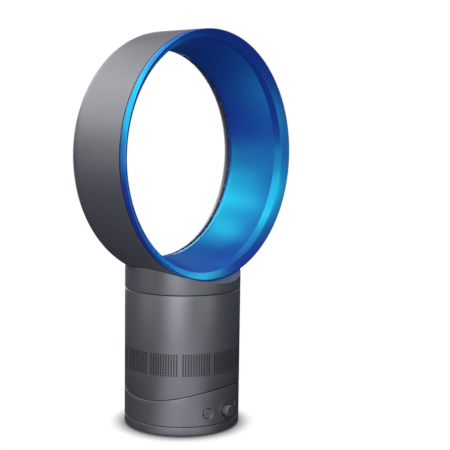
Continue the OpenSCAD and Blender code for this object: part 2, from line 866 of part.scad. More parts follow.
module button(angle) {
    cap_r = button_d / 2;
    flange_r = cap_r + button_flange_w;
    flange_front = sqrt(inner_r * inner_r - flange_r * flange_r) - moving_gap;
    stem_end = switch_tip_r + button_travel + moving_gap;
    at_control(angle) rotate_extrude() polygon(concat(
        [
            [0, stem_end], [button_stem_d / 2, stem_end],
            [button_stem_d / 2, flange_front - button_flange_t],
            [flange_r, flange_front - button_flange_t], [flange_r, flange_front], [cap_r, flange_front]
        ],
        arc([cap_r - button_round_r, column_r - button_round_r], button_round_r, 0, 90),
        [[0, column_r]]
    ));
}

module power_button() {
    color(grey) button(-button_angle);
}

module oscillation_button() {
    color(grey) button(button_angle);
}

module speed_knob() {
    knob_r = knob_d / 2;
    core_r = knob_r - 2 * knob_rib_h;
    back = inner_r - knob_inside;
    face = column_r + knob_proud;
    color(grey) at_control(0) difference() {
        union() {
            translate([0, 0, column_r + knob_edge]) linear_extrude(knob_proud - 2 * knob_edge) polygon([
                for (i = [0:2 * knob_rib_count - 1])
                    let (r = knob_r - (i % 2) * knob_rib_h, a = 180 * i / knob_rib_count)
                    r * [cos(a), sin(a)]
            ]);
            translate([0, 0, back]) cylinder(h = face - knob_edge - back, r = core_r);
            translate([0, 0, face - knob_edge])
                cylinder(h = knob_edge, r1 = core_r, r2 = core_r - knob_edge);
        }
        translate([0, 0, back - cut])
            cylinder(h = face - knob_cover - back + cut, r = encoder_shaft_d / 2 + fit_gap / 2,
                $fn = small_fn);
    }
}

module encoder_shaft() {
    start = board_r + encoder_h - encoder_depth + moving_gap;
    color(steel) at_control(0) translate([0, 0, start])
        cylinder(h = column_r + knob_proud - knob_cover - moving_gap - start, d = encoder_shaft_d,
            $fn = small_fn);
}

// The lower edge follows the tilt joint; the inside carries the ledge for the housing
module body_shell() {
    ledge_r = inner_r - ledge_w;
    color(grey) difference() {
        union() {
            intersection() {
                rotate_extrude() polygon([
                    [inner_r, 0], [column_r, 0], [column_r, body_top - edge_chamfer],
                    [column_r - edge_chamfer, body_top], [inner_r, body_top]
                ]);
                tilt_round(floor_r);
            }
            rotate_extrude() polygon([
                [ledge_r, ledge_z], [inner_r + wall / 2, ledge_z],
                [inner_r + wall / 2, ledge_z - ledge_t - ledge_w],
                [inner_r, ledge_z - ledge_t - ledge_w], [ledge_r, ledge_z - ledge_t]
            ]);
            rotate_extrude() polygon([
                [inner_r - collar_shoulder, collar_z], [inner_r + wall / 2, collar_z],
                [inner_r + wall / 2, collar_z - ledge_t - collar_shoulder],
                [inner_r, collar_z - ledge_t - collar_shoulder],
                [inner_r - collar_shoulder, collar_z - ledge_t]
            ]);
        }
        grille_slots();
        around(mount_count) translate([mount_ring_r, 0, ledge_z - ledge_t - cut])
            cylinder(h = ledge_t + 2 * cut, r = mount_pin_d / 2 + fit_gap, $fn = small_fn);
    }
}

// One slot for each column of perforations, panel by panel
module grille_slots() {
    column_turn = column_pitch / column_r * 180 / PI;
    for (panel = [0:panel_count - 1], column = [0:column_count - 1]) {
        panel_turn = first_rib_angle + panel_pitch * (panel + 1 / 2);
        turn = panel_turn + column_turn * (column - (column_count - 1) / 2);
        rotate([0, 0, turn]) translate([-column_w / 2, -column_r - cut, grille_z])
            cube([column_w, wall + 2 * cut, grille_h]);
    }
}

// Curved plate that closes the body and slides on the cradle, with slots for the rails
module body_floor() {
    rim_r = inner_r - fit_gap;
    slot_arc = rail_half_arc + tilt_range + rail_slot_play;
    color(black) difference() {
        intersection() {
            union() {
                intersection() {
                    about_tilt(tilt_plate_half_arc) translate([floor_top_r, -inner_r])
                        square([2 * floor_t, 2 * inner_r]);
                    cylinder(h = tilt_z, r = rim_r);
                }
                tube(0, lower_foam_z, rim_r, rim_r - floor_rim_w);
            }
            tilt_round(floor_r);
        }
        for (side = [-1, 1]) about_tilt(slot_arc)
            translate([floor_top_r - cut, side * rail_x - rail_stem_w / 2 - moving_gap])
                square([floor_t + 2 * cut, rail_stem_w + 2 * moving_gap]);
        about_tilt(wiring_slot_half_arc) translate([floor_top_r - cut, -wiring_hole_d / 2])
            square([floor_t + 2 * cut, wiring_hole_d]);
    }
}

module lower_foam() {
    color(foam) tube(lower_foam_z, lower_foam_z + lower_foam_h, inner_r - foam_gap, wiring_hole_d / 2);
}

// Outside radius of the housing's cone at a height
function cone_r(z) =
    throat_in_r + (outlet_r - throat_in_r) * (z - throat_z) / (cone_top - throat_z) + housing_wall;

module upper_foam() {
    foam_r = inner_r - foam_gap;
    z2 = upper_foam_z + upper_foam_h;
    color(foam) rotate_extrude() polygon([
        [cone_r(upper_foam_z) + foam_gap, upper_foam_z], [foam_r, upper_foam_z], [foam_r, z2],
        [cone_r(z2) + foam_gap, z2]
    ]);
}

// Inlet bell, conical shroud, straight outlet and mounting flange in one moulding
module impeller_housing() {
    bell_c = [throat_in_r + bell_r, throat_z];
    color(black) difference() {
        union() {
            rotate_extrude() polygon(concat(
                arc(bell_c, bell_r, 270, 180),
                [[outlet_r, cone_top], [outlet_r, housing_top], [outlet_r + housing_wall, housing_top]],
                [[outlet_r + housing_wall, cone_top]],
                arc(bell_c, bell_r - housing_wall, 180, 270)
            ));
            tube(flange_z, flange_z + flange_t, flange_r, outlet_r + housing_wall / 2);
        }
        around(mount_count) translate([mount_ring_r, 0, flange_z - cut])
            cylinder(h = flange_t + 2 * cut, r = mount_pin_d / 2 + fit_gap, $fn = small_fn);
    }
}

module housing_mounts() {
    color(rubber) around(mount_count) translate([mount_ring_r, 0, ledge_z]) {
        cylinder(h = mount_h, d = mount_d, $fn = small_fn);
        translate([0, 0, -ledge_t]) cylinder(h = ledge_t + mount_h + flange_t, d = mount_pin_d,
            $fn = small_fn);
    }
}

// One vane's plan: a circular arc that leaves the centre and curves sideways
module curved_vane(curve_r, t, reach) {
    intersection() {
        difference() {
            translate([0, curve_r]) circle(r = curve_r + t / 2);
            translate([0, curve_r]) circle(r = curve_r - t / 2);
        }
        square([reach, curve_r]);
    }
}

// Lower half of the motor bucket, with the diffuser's vanes round it
module motor_bucket() {
    vane_in_r = bucket_r - housing_wall / 2;
    vane_out_r = outlet_r - fit_gap;
    color(black) {
        tube(bucket_z, bucket_z + bucket_h, bucket_r, bucket_r - housing_wall);
        tube(bucket_z, bucket_z + housing_wall, bucket_r - housing_wall / 2, bucket_hole_d / 2);
        intersection() {
            around(vane_count) translate([0, 0, vane_z]) linear_extrude(vane_h)
                curved_vane(vane_curve_r, blade_t, outlet_r);
            tube(vane_z, vane_z + vane_h, vane_out_r, vane_in_r);
        }
    }
}

module bucket_cap() {
    z1 = bucket_z + bucket_h;
    z2 = z1 + cap_h;
    round_c = [bucket_r - cap_round_r, z2 - cap_round_r];
    spigot_r = bucket_r - housing_wall - fit_gap;
    color(black) rotate_extrude() polygon(concat(
        [
            [spigot_r - housing_wall, z1 - cap_spigot_h], [spigot_r, z1 - cap_spigot_h], [spigot_r, z1],
            [bucket_r, z1]
        ],
        arc(round_c, cap_round_r, 0, 90),
        [[0, z2], [0, z2 - housing_wall]],
        arc(round_c, cap_round_r - housing_wall, 90, 0)
    ));
}

module motor() {
    color(steel) difference() {
        union() {
            translate([0, 0, motor_z]) cylinder(h = motor_h - motor_step, d = motor_d);
            translate([0, 0, motor_z]) cylinder(h = motor_h, d = motor_neck_d);
        }
        translate([0, 0, motor_z - cut]) cylinder(h = motor_h + 2 * cut, r = shaft_d / 2 + running_gap);
    }
}

module motor_foam() {
    color(foam) tube(motor_top, motor_top + motor_foam_h, motor_foam_d / 2, motor_foam_bore_d / 2);
}

module outlet_seal() {
    color(rubber) rotate_extrude() polygon([
        [outlet_r, housing_top], [outlet_r + housing_wall, housing_top],
        [skirt_r, skirt_bottom - moving_gap], [skirt_r - skirt_t, skirt_bottom - moving_gap]
    ]);
}

// Bayonet collar: a groove for the lugs, a notch to drop each lug in, and a stop at the locked end
module bayonet_collar() {
    groove_r = lug_r + moving_gap;
    groove_top = skirt_bottom + lug_h + moving_gap;
    color(black) difference() {
        tube(collar_z, collar_top, inner_r - fit_gap, collar_bore_r);
        around(lug_count, -unlock_turn / 2)
            tube_sector(skirt_bottom - moving_gap, groove_top, groove_r, collar_bore_r - cut,
                unlock_turn + lug_arc + 2 * stop_play);
        around(lug_count, -unlock_turn)
            tube_sector(skirt_bottom, collar_top + cut, groove_r + fit_gap, collar_bore_r - cut,
                lug_arc + 2 * notch_play);
    }
}

module neck_gasket() {
    gasket_r = lug_r + moving_gap;
    color(rubber) tube(collar_top, neck_bottom - moving_gap, gasket_r + gasket_w, gasket_r);
}

// Curve of the hub from its nose to its back rim, shifted outwards and up
function hub_curve(shift_r, shift_z, from, to) = [
    for (i = [0:arc_steps])
        let (a = from + (to - from) * i / arc_steps) [
            hub_nose_r + shift_r + (hub_back_r - hub_nose_r) * (1 - cos(a)),
            impeller_z + shift_z + (impeller_top - hub_t - impeller_z) * sin(a)
        ]
];

// Mixed-flow impeller: a flared hub with blades that follow the housing's cone
module impeller() {
    bore_r = shaft_d / 2 + fit_gap / 2;
    boss_r = hub_nose_r - hub_t - 2 * fit_gap;
    hollow = hub_curve(-hub_t, hub_t, 90, hub_hollow_end);
    tip_gap = housing_wall + impeller_gap;
    color(white) union() {
        rotate_extrude() polygon(concat(
            [[bore_r, impeller_z]],
            hub_curve(0, 0, 0, 90),
            [[hub_back_r, impeller_top]],
            hollow,
            [[boss_r, hollow[arc_steps][1]], [boss_r, impeller_top], [bore_r, impeller_top]]
        ));
        intersection() {
            around(blade_count) translate([0, 0, impeller_z])
                linear_extrude(impeller_top - impeller_z) curved_vane(blade_curve_r, blade_t, outlet_r);
            rotate_extrude() polygon(concat(
                [[hub_nose_r - hub_t / 2, impeller_z]],
                hub_curve(-hub_t / 2, hub_t / 2, 0, 90),
                [
                    [hub_back_r - hub_t / 2, impeller_top], [cone_r(impeller_top) - tip_gap, impeller_top],
                    [cone_r(impeller_z) - tip_gap, impeller_z]
                ]
            ));
        }
    }
}

module motor_shaft() {
    color(steel) translate([0, 0, shaft_bottom])
        cylinder(h = motor_top + shaft_tail - shaft_bottom, d = shaft_d);
}

module impeller_nut() {
    color(steel) translate([0, 0, impeller_z - nut_h]) difference() {
        cylinder(h = nut_h, d = nut_d, $fn = 6);
        translate([0, 0, -cut]) cylinder(h = nut_h + 2 * cut, r = shaft_d / 2 + fit_gap / 2);
    }
}

// A box round the air duct, wider than its clear opening by a margin on each side
module duct_box(margin, z1, z2) {
    translate([-duct_w / 2 - margin, -duct_front - duct_depth / 2 - margin, z1])
        cube([duct_w + 2 * margin, duct_depth + 2 * margin, z2 - z1]);
}

// The loop's seat, widened by a margin: a cylinder that draws in along the loop's rear shoulder
module loop_seat(margin) {
    seat_r = shoulder_r + seat_gap + margin;
    reach = column_r + cut;
    cup_end = shoulder_c + seat_r * [cos(cup_arc), -sin(cup_arc)];
    about_loop() rotate_extrude() polygon(concat(
        [[0, -reach], [0, reach], [saddle_r + margin, reach]],
        arc(shoulder_c, seat_r, 0, -cup_arc),
        [[cup_end[0], -reach]]
    ));
}

// The neck's top cups the loop, its skirt carries the lugs, and its duct enters the loop
module nozzle_neck() {
    high = loop_z - loop_r / 2;
    duct_bottom = loop_z - saddle_r - 2 * wall;
    color(grey) difference() {
        union() {
            difference() {
                rotate_extrude() polygon([
                    [0, neck_bottom], [column_r - edge_chamfer / 2, neck_bottom],
                    [column_r, neck_bottom + edge_chamfer / 2], [column_r, high], [0, high]
                ]);
                loop_seat(0);
                difference() {
                    translate([0, 0, neck_bottom + web_t]) cylinder(h = high, r = inner_r);
                    loop_seat(wall);
                }
            }
            tube(skirt_bottom, neck_bottom + web_t, skirt_r, skirt_r - skirt_t);
            around(lug_count)
                tube_sector(skirt_bottom, skirt_bottom + lug_h, lug_r, skirt_r - skirt_t / 2, lug_arc);
            difference() {
                duct_box(duct_t, duct_bottom, high);
                loop_round(loop_r - casing_t - duct_rise);
            }
        }
        translate([0, 0, neck_bottom - cut]) cylinder(h = web_t + 2 * cut, r = skirt_r - skirt_t);
        duct_box(0, duct_bottom - cut, high);
    }
}

// Bearing, from an arc's centre, of the place where a line from a point touches the arc
function tangent_bearing(centre, radius, point) =
    bearing(centre, point) + acos(radius / norm(point - centre));

// Outer casing: cylinder, rear shoulder, rounded nose, and the flared lip behind the air slot
module outer_casing() {
    nose_start = bearing(shoulder_c, nose_c);
    nose_end = bearing(flare_c, nose_c);
    color(grey) difference() {
        about_loop() rotate_extrude() polygon(concat(
            [[loop_r - casing_t, joint_back], [loop_r, joint_back]],
            arc(shoulder_c, shoulder_r, 0, nose_start),
            arc(nose_c, nose_r, nose_start, nose_end, 1),
            arc(flare_c, flare_r, nose_end, lip_bearing, 1),
            arc(flare_c, flare_r - lip_t, lip_bearing, bearing(flare_c, inside_c)),
            arc(shoulder_c, shoulder_r - casing_t, bearing(shoulder_c, inside_c), 0, 1)
        ));
        duct_box(duct_t + fit_gap, loop_z - loop_r - cut, loop_z - loop_r + duct_w / 2);
    }
}

// Height of the flare's inside face at radius r
function flare_inside(r) =
    let (slope = (loop_front - guide_front) / (rim_start_r - guide_r))
    guide_front + (r - guide_r) * slope - liner_t * sqrt(1 + slope * slope);

// Inner casing: tongue, outer band, rim, flare, guide, diffuser, and the curve into the air slot
module inner_casing() {
    guide_end = [guide_r, guide_back];
    touch = tangent_bearing(coanda_c, coanda_r, guide_end);
    tongue_in = tongue_r - tongue_t;
    color(blue) about_loop() rotate_extrude() polygon(concat(
        [
            [tongue_in, joint_back - tongue_l], [tongue_r, joint_back - tongue_l],
            [tongue_r, joint_front], [loop_r, joint_front]
        ],
        arc([loop_r - rim_round_r, loop_front - rim_round_r], rim_round_r, 0, 90),
        [[rim_start_r, loop_front], [guide_r, guide_front], guide_end],
        arc(coanda_c, coanda_r, touch, 180 + tail_angle),
        arc(coanda_c, coanda_r - liner_t, 180 + tail_angle, touch),
        [
            [guide_r + liner_t, guide_back], [guide_r + liner_t, flare_inside(guide_r + liner_t)],
            [tongue_in, flare_inside(tongue_in)]
        ]
    ));
}

module casing_ring() {
    color(black) about_loop() tube(joint_back + fit_gap, joint_front - fit_gap, loop_r - ring_sunk,
        loop_r - casing_t);
}

// Small bridges between the lip and the curved surface, which keep the slot's width
module slot_spacers() {
    end_bearing = bearing(flare_c, inside_c);
    outer = [
        for (s = spacer_shares)
            let (a = lip_bearing + s * (end_bearing - lip_bearing))
            flare_c + (flare_r - lip_t - fit_gap) * [cos(a), sin(a)]
    ];
    inner = [
        for (i = [len(outer) - 1:-1:0])
            coanda_c + (coanda_r + fit_gap) * (outer[i] - coanda_c) / norm(outer[i] - coanda_c)
    ];
    sector = spacer_w / lip_r * 180 / PI;
    color(grey) about_loop() around(spacer_count) rotate([0, 0, -sector / 2])
        rotate_extrude(angle = sector) polygon(concat(outer, inner));
}

foot_shell();
foot_plate();
foot_pads();
foot_screws();
cord_gland();
slide_ring();
swivel_gear();
spindle_clip();
base_shell();
tilt_cradle();
tilt_rails();
cradle_screws();
rail_screws();
oscillation_motor();
motor_screws();
control_board();
board_screws();
speed_encoder();
button_switches();
oscillation_pinion();
pinion_shaft();
power_button();
oscillation_button();
speed_knob();
encoder_shaft();
body_shell();
body_floor();
lower_foam();
upper_foam();
impeller_housing();
housing_mounts();
motor_bucket();
bucket_cap();
motor();
motor_foam();
outlet_seal();
bayonet_collar();
neck_gasket();
impeller();
motor_shaft();
impeller_nut();
nozzle_neck();
outer_casing();
inner_casing();
casing_ring();
slot_spacers();
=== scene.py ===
import json
import math

import bmesh
import bpy
import numpy as np
from mathutils import Matrix, Vector


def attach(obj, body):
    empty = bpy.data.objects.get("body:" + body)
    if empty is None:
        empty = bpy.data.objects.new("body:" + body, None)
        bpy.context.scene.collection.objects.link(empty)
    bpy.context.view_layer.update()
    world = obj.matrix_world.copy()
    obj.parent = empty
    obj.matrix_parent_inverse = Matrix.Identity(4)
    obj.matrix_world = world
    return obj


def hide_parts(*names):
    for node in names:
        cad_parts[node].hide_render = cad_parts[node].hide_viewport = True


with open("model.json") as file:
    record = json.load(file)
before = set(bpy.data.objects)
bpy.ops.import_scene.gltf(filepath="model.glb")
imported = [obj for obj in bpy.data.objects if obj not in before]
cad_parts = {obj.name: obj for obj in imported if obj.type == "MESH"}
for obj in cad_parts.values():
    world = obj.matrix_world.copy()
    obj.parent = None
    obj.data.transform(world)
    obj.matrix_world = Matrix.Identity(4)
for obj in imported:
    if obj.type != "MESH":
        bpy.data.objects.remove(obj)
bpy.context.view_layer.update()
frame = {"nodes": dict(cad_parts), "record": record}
nodes = frame["nodes"]
print("frame loaded:", len(nodes), "nodes")

# Sizes are in millimetres until a mesh is made. A place round the column is its angle from the front
# (-Y) towards +X, so a point at radius r and angle a is (r sin a, -r cos a).
column = {"outerR": 72.5, "wall": 2.5}
tilt = {"axisZ": 233.6, "seamR": 191.0, "seamGap": 0.85}
loop = {"centreZ": 338.0, "outerR": 152.0, "turnSteps": 320}
millimetre = 0.001  # in metres, the unit of the scene
pieceSlots = {}  # the material slot of each piece that is made here


# Mesh building. Points that lie closer than these count as one, in a mesh and in an outline.
closePoints = 0.002
closeCorners = 0.0001


# Faces of a grid of points, rows by columns: each face joins two neighbours on two neighbouring rows.
# A row always closes into a ring, and the last row joins the first unless closeRows is false.
def gridFaces(rows, columns, closeRows=True):
    a, b = np.meshgrid(np.arange(rows if closeRows else rows - 1), np.arange(columns), indexing="ij")
    c, d = (a + 1) % rows, (b + 1) % columns
    return np.stack([a * columns + b, a * columns + d, c * columns + d, c * columns + b], -1).reshape(-1, 4)


# Faces between two closed rings of point numbers, or between many such pairs at once
def ringFaces(one, other):
    return np.stack([one, np.roll(one, -1, 1), np.roll(other, -1, 1), other], -1).reshape(-1, 4)


# A closed piece from points in millimetres and faces: doubles merged, faces outwards, sharp edges kept
def makePiece(name, points, faces, body, slot, replaced, sharpAngle=32):
    mesh = bpy.data.meshes.new(name)
    mesh.from_pydata(np.asarray(points).reshape(-1, 3) * millimetre, [], faces)
    work = bmesh.new()
    work.from_mesh(mesh)
    bmesh.ops.remove_doubles(work, verts=work.verts, dist=closePoints * millimetre)
    bmesh.ops.recalc_face_normals(work, faces=work.faces)
    work.to_mesh(mesh)
    work.free()
    mesh.polygons.foreach_set("use_smooth", np.ones(len(mesh.polygons), bool))
    mesh.set_sharp_from_angle(angle=math.radians(sharpAngle))
    piece = bpy.data.objects.new(name, mesh)
    bpy.context.scene.collection.objects.link(piece)
    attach(piece, body)
    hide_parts(replaced)
    pieceSlots[name] = slot
    print("piece made:", name, len(mesh.polygons), "faces")


# A closed outline with rounded corners: each corner gives way to an arc that touches its two sides.
# The arc's centre lies on the corner's bisector, radius / sin(half angle) from the corner.
def roundCorners(corners, radii, steps=6):
    corners = np.asarray(corners, float)
    radii = np.asarray(radii, float)
    back = np.roll(corners, 1, 0) - corners
    ahead = np.roll(corners, -1, 0) - corners
    back /= np.linalg.norm(back, axis=1)[:, None]
    ahead /= np.linalg.norm(ahead, axis=1)[:, None]
    half = np.arccos(np.clip((back * ahead).sum(1), -1, 1)) / 2
    bisector = back + ahead
    length = np.linalg.norm(bisector, axis=1)[:, None]
    bisector /= np.where(length > 0, length, 1)  # a straight corner has no bisector
    centre = corners + bisector * (radii / np.sin(half))[:, None]
    start = corners + back * (radii / np.tan(half))[:, None] - centre
    end = corners + ahead * (radii / np.tan(half))[:, None] - centre
    first = np.arctan2(start[:, 1], start[:, 0])
    turn = np.arctan2(end[:, 1], end[:, 0]) - first
    turn = (turn + np.pi) % (2 * np.pi) - np.pi
    angle = first[:, None] + turn[:, None] * np.linspace(0, 1, steps + 1)
    outline = centre[:, None] + radii[:, None, None] * np.stack([np.cos(angle), np.sin(angle)], -1)
    outline = outline.reshape(-1, 2)
    return outline[np.linalg.norm(outline - np.roll(outline, 1, 0), axis=1) > closeCorners]


# Points along an arc: centre + radius (cos a, sin a), with a in degrees from first to last
def arcPoints(centre, radius, first, last, steps):
    angle = np.radians(np.linspace(first, last, steps + 1))
    return np.asarray(centre) + radius * np.stack([np.cos(angle), np.sin(angle)], -1)


# Direction from one point to another, in degrees
def bearing(start, end):
    return math.degrees(math.atan2(end[1] - start[1], end[0] - start[0]))


# Where two circles cross, on the left of the way from the first centre to the second
def circlesCross(centreA, radiusA, centreB, radiusB):
    across = np.subtract(centreB, centreA)
    apart = np.linalg.norm(across)
    along = (radiusA ** 2 - radiusB ** 2 + apart ** 2) / (2 * apart)
    side = math.sqrt(radiusA ** 2 - along ** 2)
    return np.asarray(centreA) + across / apart * along + np.array([-across[1], across[0]]) / apart * side


# Points on the column: radius r, angle a and height z as arrays
def aroundColumn(r, a, z):
    r, a, z = np.broadcast_arrays(r, a, z)
    return np.stack([r * np.sin(a), -r * np.cos(a), z], -1)


# A profile of (radius, distance forward) turned about the loop's level axis
def turnedLoop(profile):
    a = np.linspace(0, 2 * np.pi, loop["turnSteps"], endpoint=False)
    r, forward = profile[:, :1], profile[:, 1:]
    points = np.stack([r * np.cos(a), -forward + 0 * a, loop["centreZ"] + r * np.sin(a)], -1)
    return points, gridFaces(len(profile), len(a))


# Points beside a control: across, up and out of the column, for a control at an angle round it
def beside(angle, across, up, out, height):
    across, up, out = np.broadcast_arrays(across, up, out)
    x = across * math.cos(angle) + out * math.sin(angle)
    y = across * math.sin(angle) - out * math.cos(angle)
    return np.stack([x, y, up + height], -1)


# Nozzle loop. Places of the joint, the rim and the guide are distances ahead of the plane y = 0, and those
# of the shoulder, the flare, the lip and the throat are distances behind it.
casing = {
    "wall": 2.5, "jointBack": 41.0, "jointFront": 42.7, "shoulderR": 28.0, "shoulderBack": 23.7,
    "noseR": 3.0, "flareR": 16.2, "flareBack": 35.3, "lipR": 130.0, "lipBack": 38.3, "lipWall": 1.4,
    "edgeRound": 0.35, "innerRound": 0.1, "ringSunk": 0.15, "ringGap": 0.05,
}
liner = {
    "wall": 2.5, "front": 51.3, "rimWidth": 1.6, "rimRound": 0.8, "rimInnerRound": 0.7, "guideR": 142.6,
    "guideFront": 44.3, "guideBack": 33.0, "guideRound": 0.45, "bendRound": 0.9, "throatR": 129.0,
    "throatBack": 27.5, "slotCurveR": 12.0, "tailAngle": 75.0, "tongueGap": 0.1, "tongueWall": 2.0,
    "tongueDepth": 7.0,
}


# Grey outer casing: cylinder, rear shoulder, nose and flared lip, as arcs that touch each other
def outerCasing():
    r, wall, back = loop["outerR"], casing["wall"], casing["jointBack"]
    shoulderR, noseR, flareR = casing["shoulderR"], casing["noseR"], casing["flareR"]
    shoulder = np.array([r - shoulderR, -casing["shoulderBack"]])
    flare = np.array([casing["lipR"] + flareR, -casing["flareBack"]])
    nose = circlesCross(flare, flareR - noseR, shoulder, shoulderR - noseR)
    inside = circlesCross(flare, flareR - casing["lipWall"], shoulder, shoulderR - wall)
    lip = -180 + math.degrees(math.asin((casing["lipBack"] - casing["flareBack"]) / flareR))
    front = roundCorners([[r - wall, back - wall], [r - wall, back], [r, back], [r, back - wall]],
                         [0, casing["innerRound"], casing["edgeRound"], 0])[1:-1]
    profile = np.vstack([
        front,
        arcPoints(shoulder, shoulderR, 0, bearing(shoulder, nose), 28),
        arcPoints(nose, noseR, bearing(shoulder, nose), bearing(flare, nose), 10)[1:],
        arcPoints(flare, flareR, bearing(flare, nose), lip, 20)[1:],
        arcPoints(flare, flareR - casing["lipWall"], lip, bearing(flare, inside), 14),
        arcPoints(shoulder, shoulderR - wall, bearing(shoulder, inside), 0, 20)[1:],
    ])
    points, faces = turnedLoop(profile)
    makePiece("outerCasing", points, faces, "nozzle", "grey_shell", "outer_casing")


# Blue inner casing: outer band, rim, flare, guide surface, wide diffuser and the curve into the slot
def innerCasing():
    outer = loop["outerR"]
    tongue = outer - casing["wall"] - liner["tongueGap"]
    tongueIn, tongueBack = tongue - liner["tongueWall"], casing["jointBack"] - liner["tongueDepth"]
    rim = outer - liner["rimWidth"]
    slope = (liner["front"] - liner["guideFront"]) / (rim - liner["guideR"])
    guideEnd = np.array([liner["guideR"], liner["guideBack"]])
    guideIn = liner["guideR"] + liner["wall"]
    curve = np.array([liner["throatR"] + liner["slotCurveR"], -liner["throatBack"]])
    touch = bearing(curve, guideEnd) + math.degrees(
        math.acos(liner["slotCurveR"] / np.linalg.norm(guideEnd - curve)))
    tail = 180 + liner["tailAngle"]

    # The flare's inner face: its outer face moved back by the wall, measured square to the slope
    def flareInside(r):
        return liner["guideFront"] + (r - liner["guideR"]) * slope - liner["wall"] * math.hypot(1, slope)

    corners = np.vstack([
        [[tongueIn, tongueBack], [tongue, tongueBack], [tongue, casing["jointFront"]],
         [outer, casing["jointFront"]], [outer, liner["front"]], [rim, liner["front"]],
         [liner["guideR"], liner["guideFront"]], guideEnd],
        arcPoints(curve, liner["slotCurveR"], touch, tail, 26),
        arcPoints(curve, liner["slotCurveR"] - liner["wall"], tail, touch, 20),
        [[guideIn, liner["guideBack"]], [guideIn, flareInside(guideIn)], [tongueIn, flareInside(tongueIn)]],
    ])
    radii = np.zeros(len(corners))
    radii[3:8] = [casing["edgeRound"], liner["rimRound"], liner["rimInnerRound"], liner["guideRound"],
                  liner["bendRound"]]
    points, faces = turnedLoop(roundCorners(corners, radii, steps=5))
    makePiece("innerCasing", points, faces, "nozzle", "blue_liner", "inner_casing", sharpAngle=40)


# Black ring that fills the joint between the casings, a little below their surface
def casingRing():
    low, high = loop["outerR"] - casing["wall"] - casing["ringGap"], loop["outerR"] - casing["ringSunk"]
    back, front = casing["jointBack"] + casing["ringGap"], casing["jointFront"] - casing["ringGap"]
    points, faces = turnedLoop(np.array([[low, back], [high, back], [high, front], [low, front]]))
    makePiece("casingRing", points, faces, "nozzle", "black_plastic", "casing_ring")


outerCasing()
innerCasing()
casingRing()


# Nozzle neck
neck = {
    "bottom": 173.4, "bottomEdge": 0.4, "gap": 0.3, "cupArc": 44.0, "topRound": 0.6, "around": 256,
    "rings": 40,
}


# The neck's wall and top. The top is a seat round the loop: height = loop centre - sqrt(R^2 - x^2), where
# R is the loop's radius plus a gap and follows the loop's rear shoulder until the cup's arc ends.
def nozzleNeck():
    r, edge, soft = column["outerR"], neck["bottomEdge"], neck["topRound"]
    a = np.linspace(0, 2 * np.pi, neck["around"], endpoint=False)[None]
    seatR = casing["shoulderR"] + neck["gap"]
    cupDepth = seatR * math.sin(math.radians(neck["cupArc"]))

    def saddle(radius):
        behind = np.clip(-radius * np.cos(a) - casing["shoulderBack"], 0, cupDepth)
        around = loop["outerR"] - casing["shoulderR"] + np.sqrt(seatR ** 2 - behind ** 2)
        return loop["centreZ"] - np.sqrt(around ** 2 - (radius * np.sin(a)) ** 2)

    underR = np.array([0, r / 2, r - edge])[:, None]
    turn = np.radians(np.linspace(0, 90, 6))[:, None]
    roundR = r - soft + soft * np.cos(turn)
    topR = np.linspace(r - soft, 0, neck["rings"])[1:, None]
    points = np.concatenate([
        aroundColumn(underR, a, neck["bottom"]),
        aroundColumn(np.array([[r]]), a, neck["bottom"] + edge),
        aroundColumn(roundR, a, saddle(roundR) - soft + soft * np.sin(turn)),
        aroundColumn(topR, a, saddle(topR)),
    ])
    faces = gridFaces(points.shape[0], points.shape[1], closeRows=False)
    makePiece("nozzleNeck", points, faces, "nozzle", "grey_shell", "nozzle_neck")


nozzleNeck()


# Body shell with its perforated inlet. Each winding line of the inlet is a pair of columns of holes.
bodyShell = {
    "top": 172.6, "topEdge": 0.8, "topShares": (0.12, 0.65), "lowRound": 0.35, "lowShare": 0.3,
    "rearColumns": 5, "paintDepth": 0.3,
}
grille = {
    "panels": 11, "pitch": 32.0, "firstRib": -178.0, "pairs": 11, "pairPitch": 3.28, "rows": 7,
    "rowPitch": 3.9, "low": 74.7, "holeW": 1.7, "holeH": 1.8, "offset": 0.4, "sway": 0.65, "border": 1.0,
}


# Height of the tilt seam at radius r: an arc about the left-right tilt axis, with y = -r cos a
def seamHeight(seamR, r, a):
    return tilt["axisZ"] - np.sqrt(seamR ** 2 - (r * np.cos(a)) ** 2)


# Angles of the grid's columns, how far each one sways, and the number of columns in a panel. A pair of
# hole columns takes four columns of the grid, and the third of them is the border that sways.
def grilleColumns():
    r, pairs = column["outerR"], grille["pairs"]
    half, border = grille["pairPitch"] / 2, grille["border"]
    centres = grille["pairPitch"] * (np.arange(pairs) - (pairs - 1) / 2)
    across = np.append((centres[:, None] + [-half, -border, 0, border]).ravel(), centres[-1] + half)
    swayHere = np.append(np.tile([0, 0, grille["sway"], 0], pairs), 0)
    panelTurn = np.radians(grille["firstRib"] + grille["pitch"] * (np.arange(grille["panels"]) + 0.5))
    a = (panelTurn[:, None] + across / r).ravel()
    rear = np.linspace(a[-1], a[0] + 2 * np.pi, bodyShell["rearColumns"] + 2)[1:-1]
    return np.append(a, rear), np.append(np.tile(swayHere, grille["panels"]), 0 * rear), len(across)


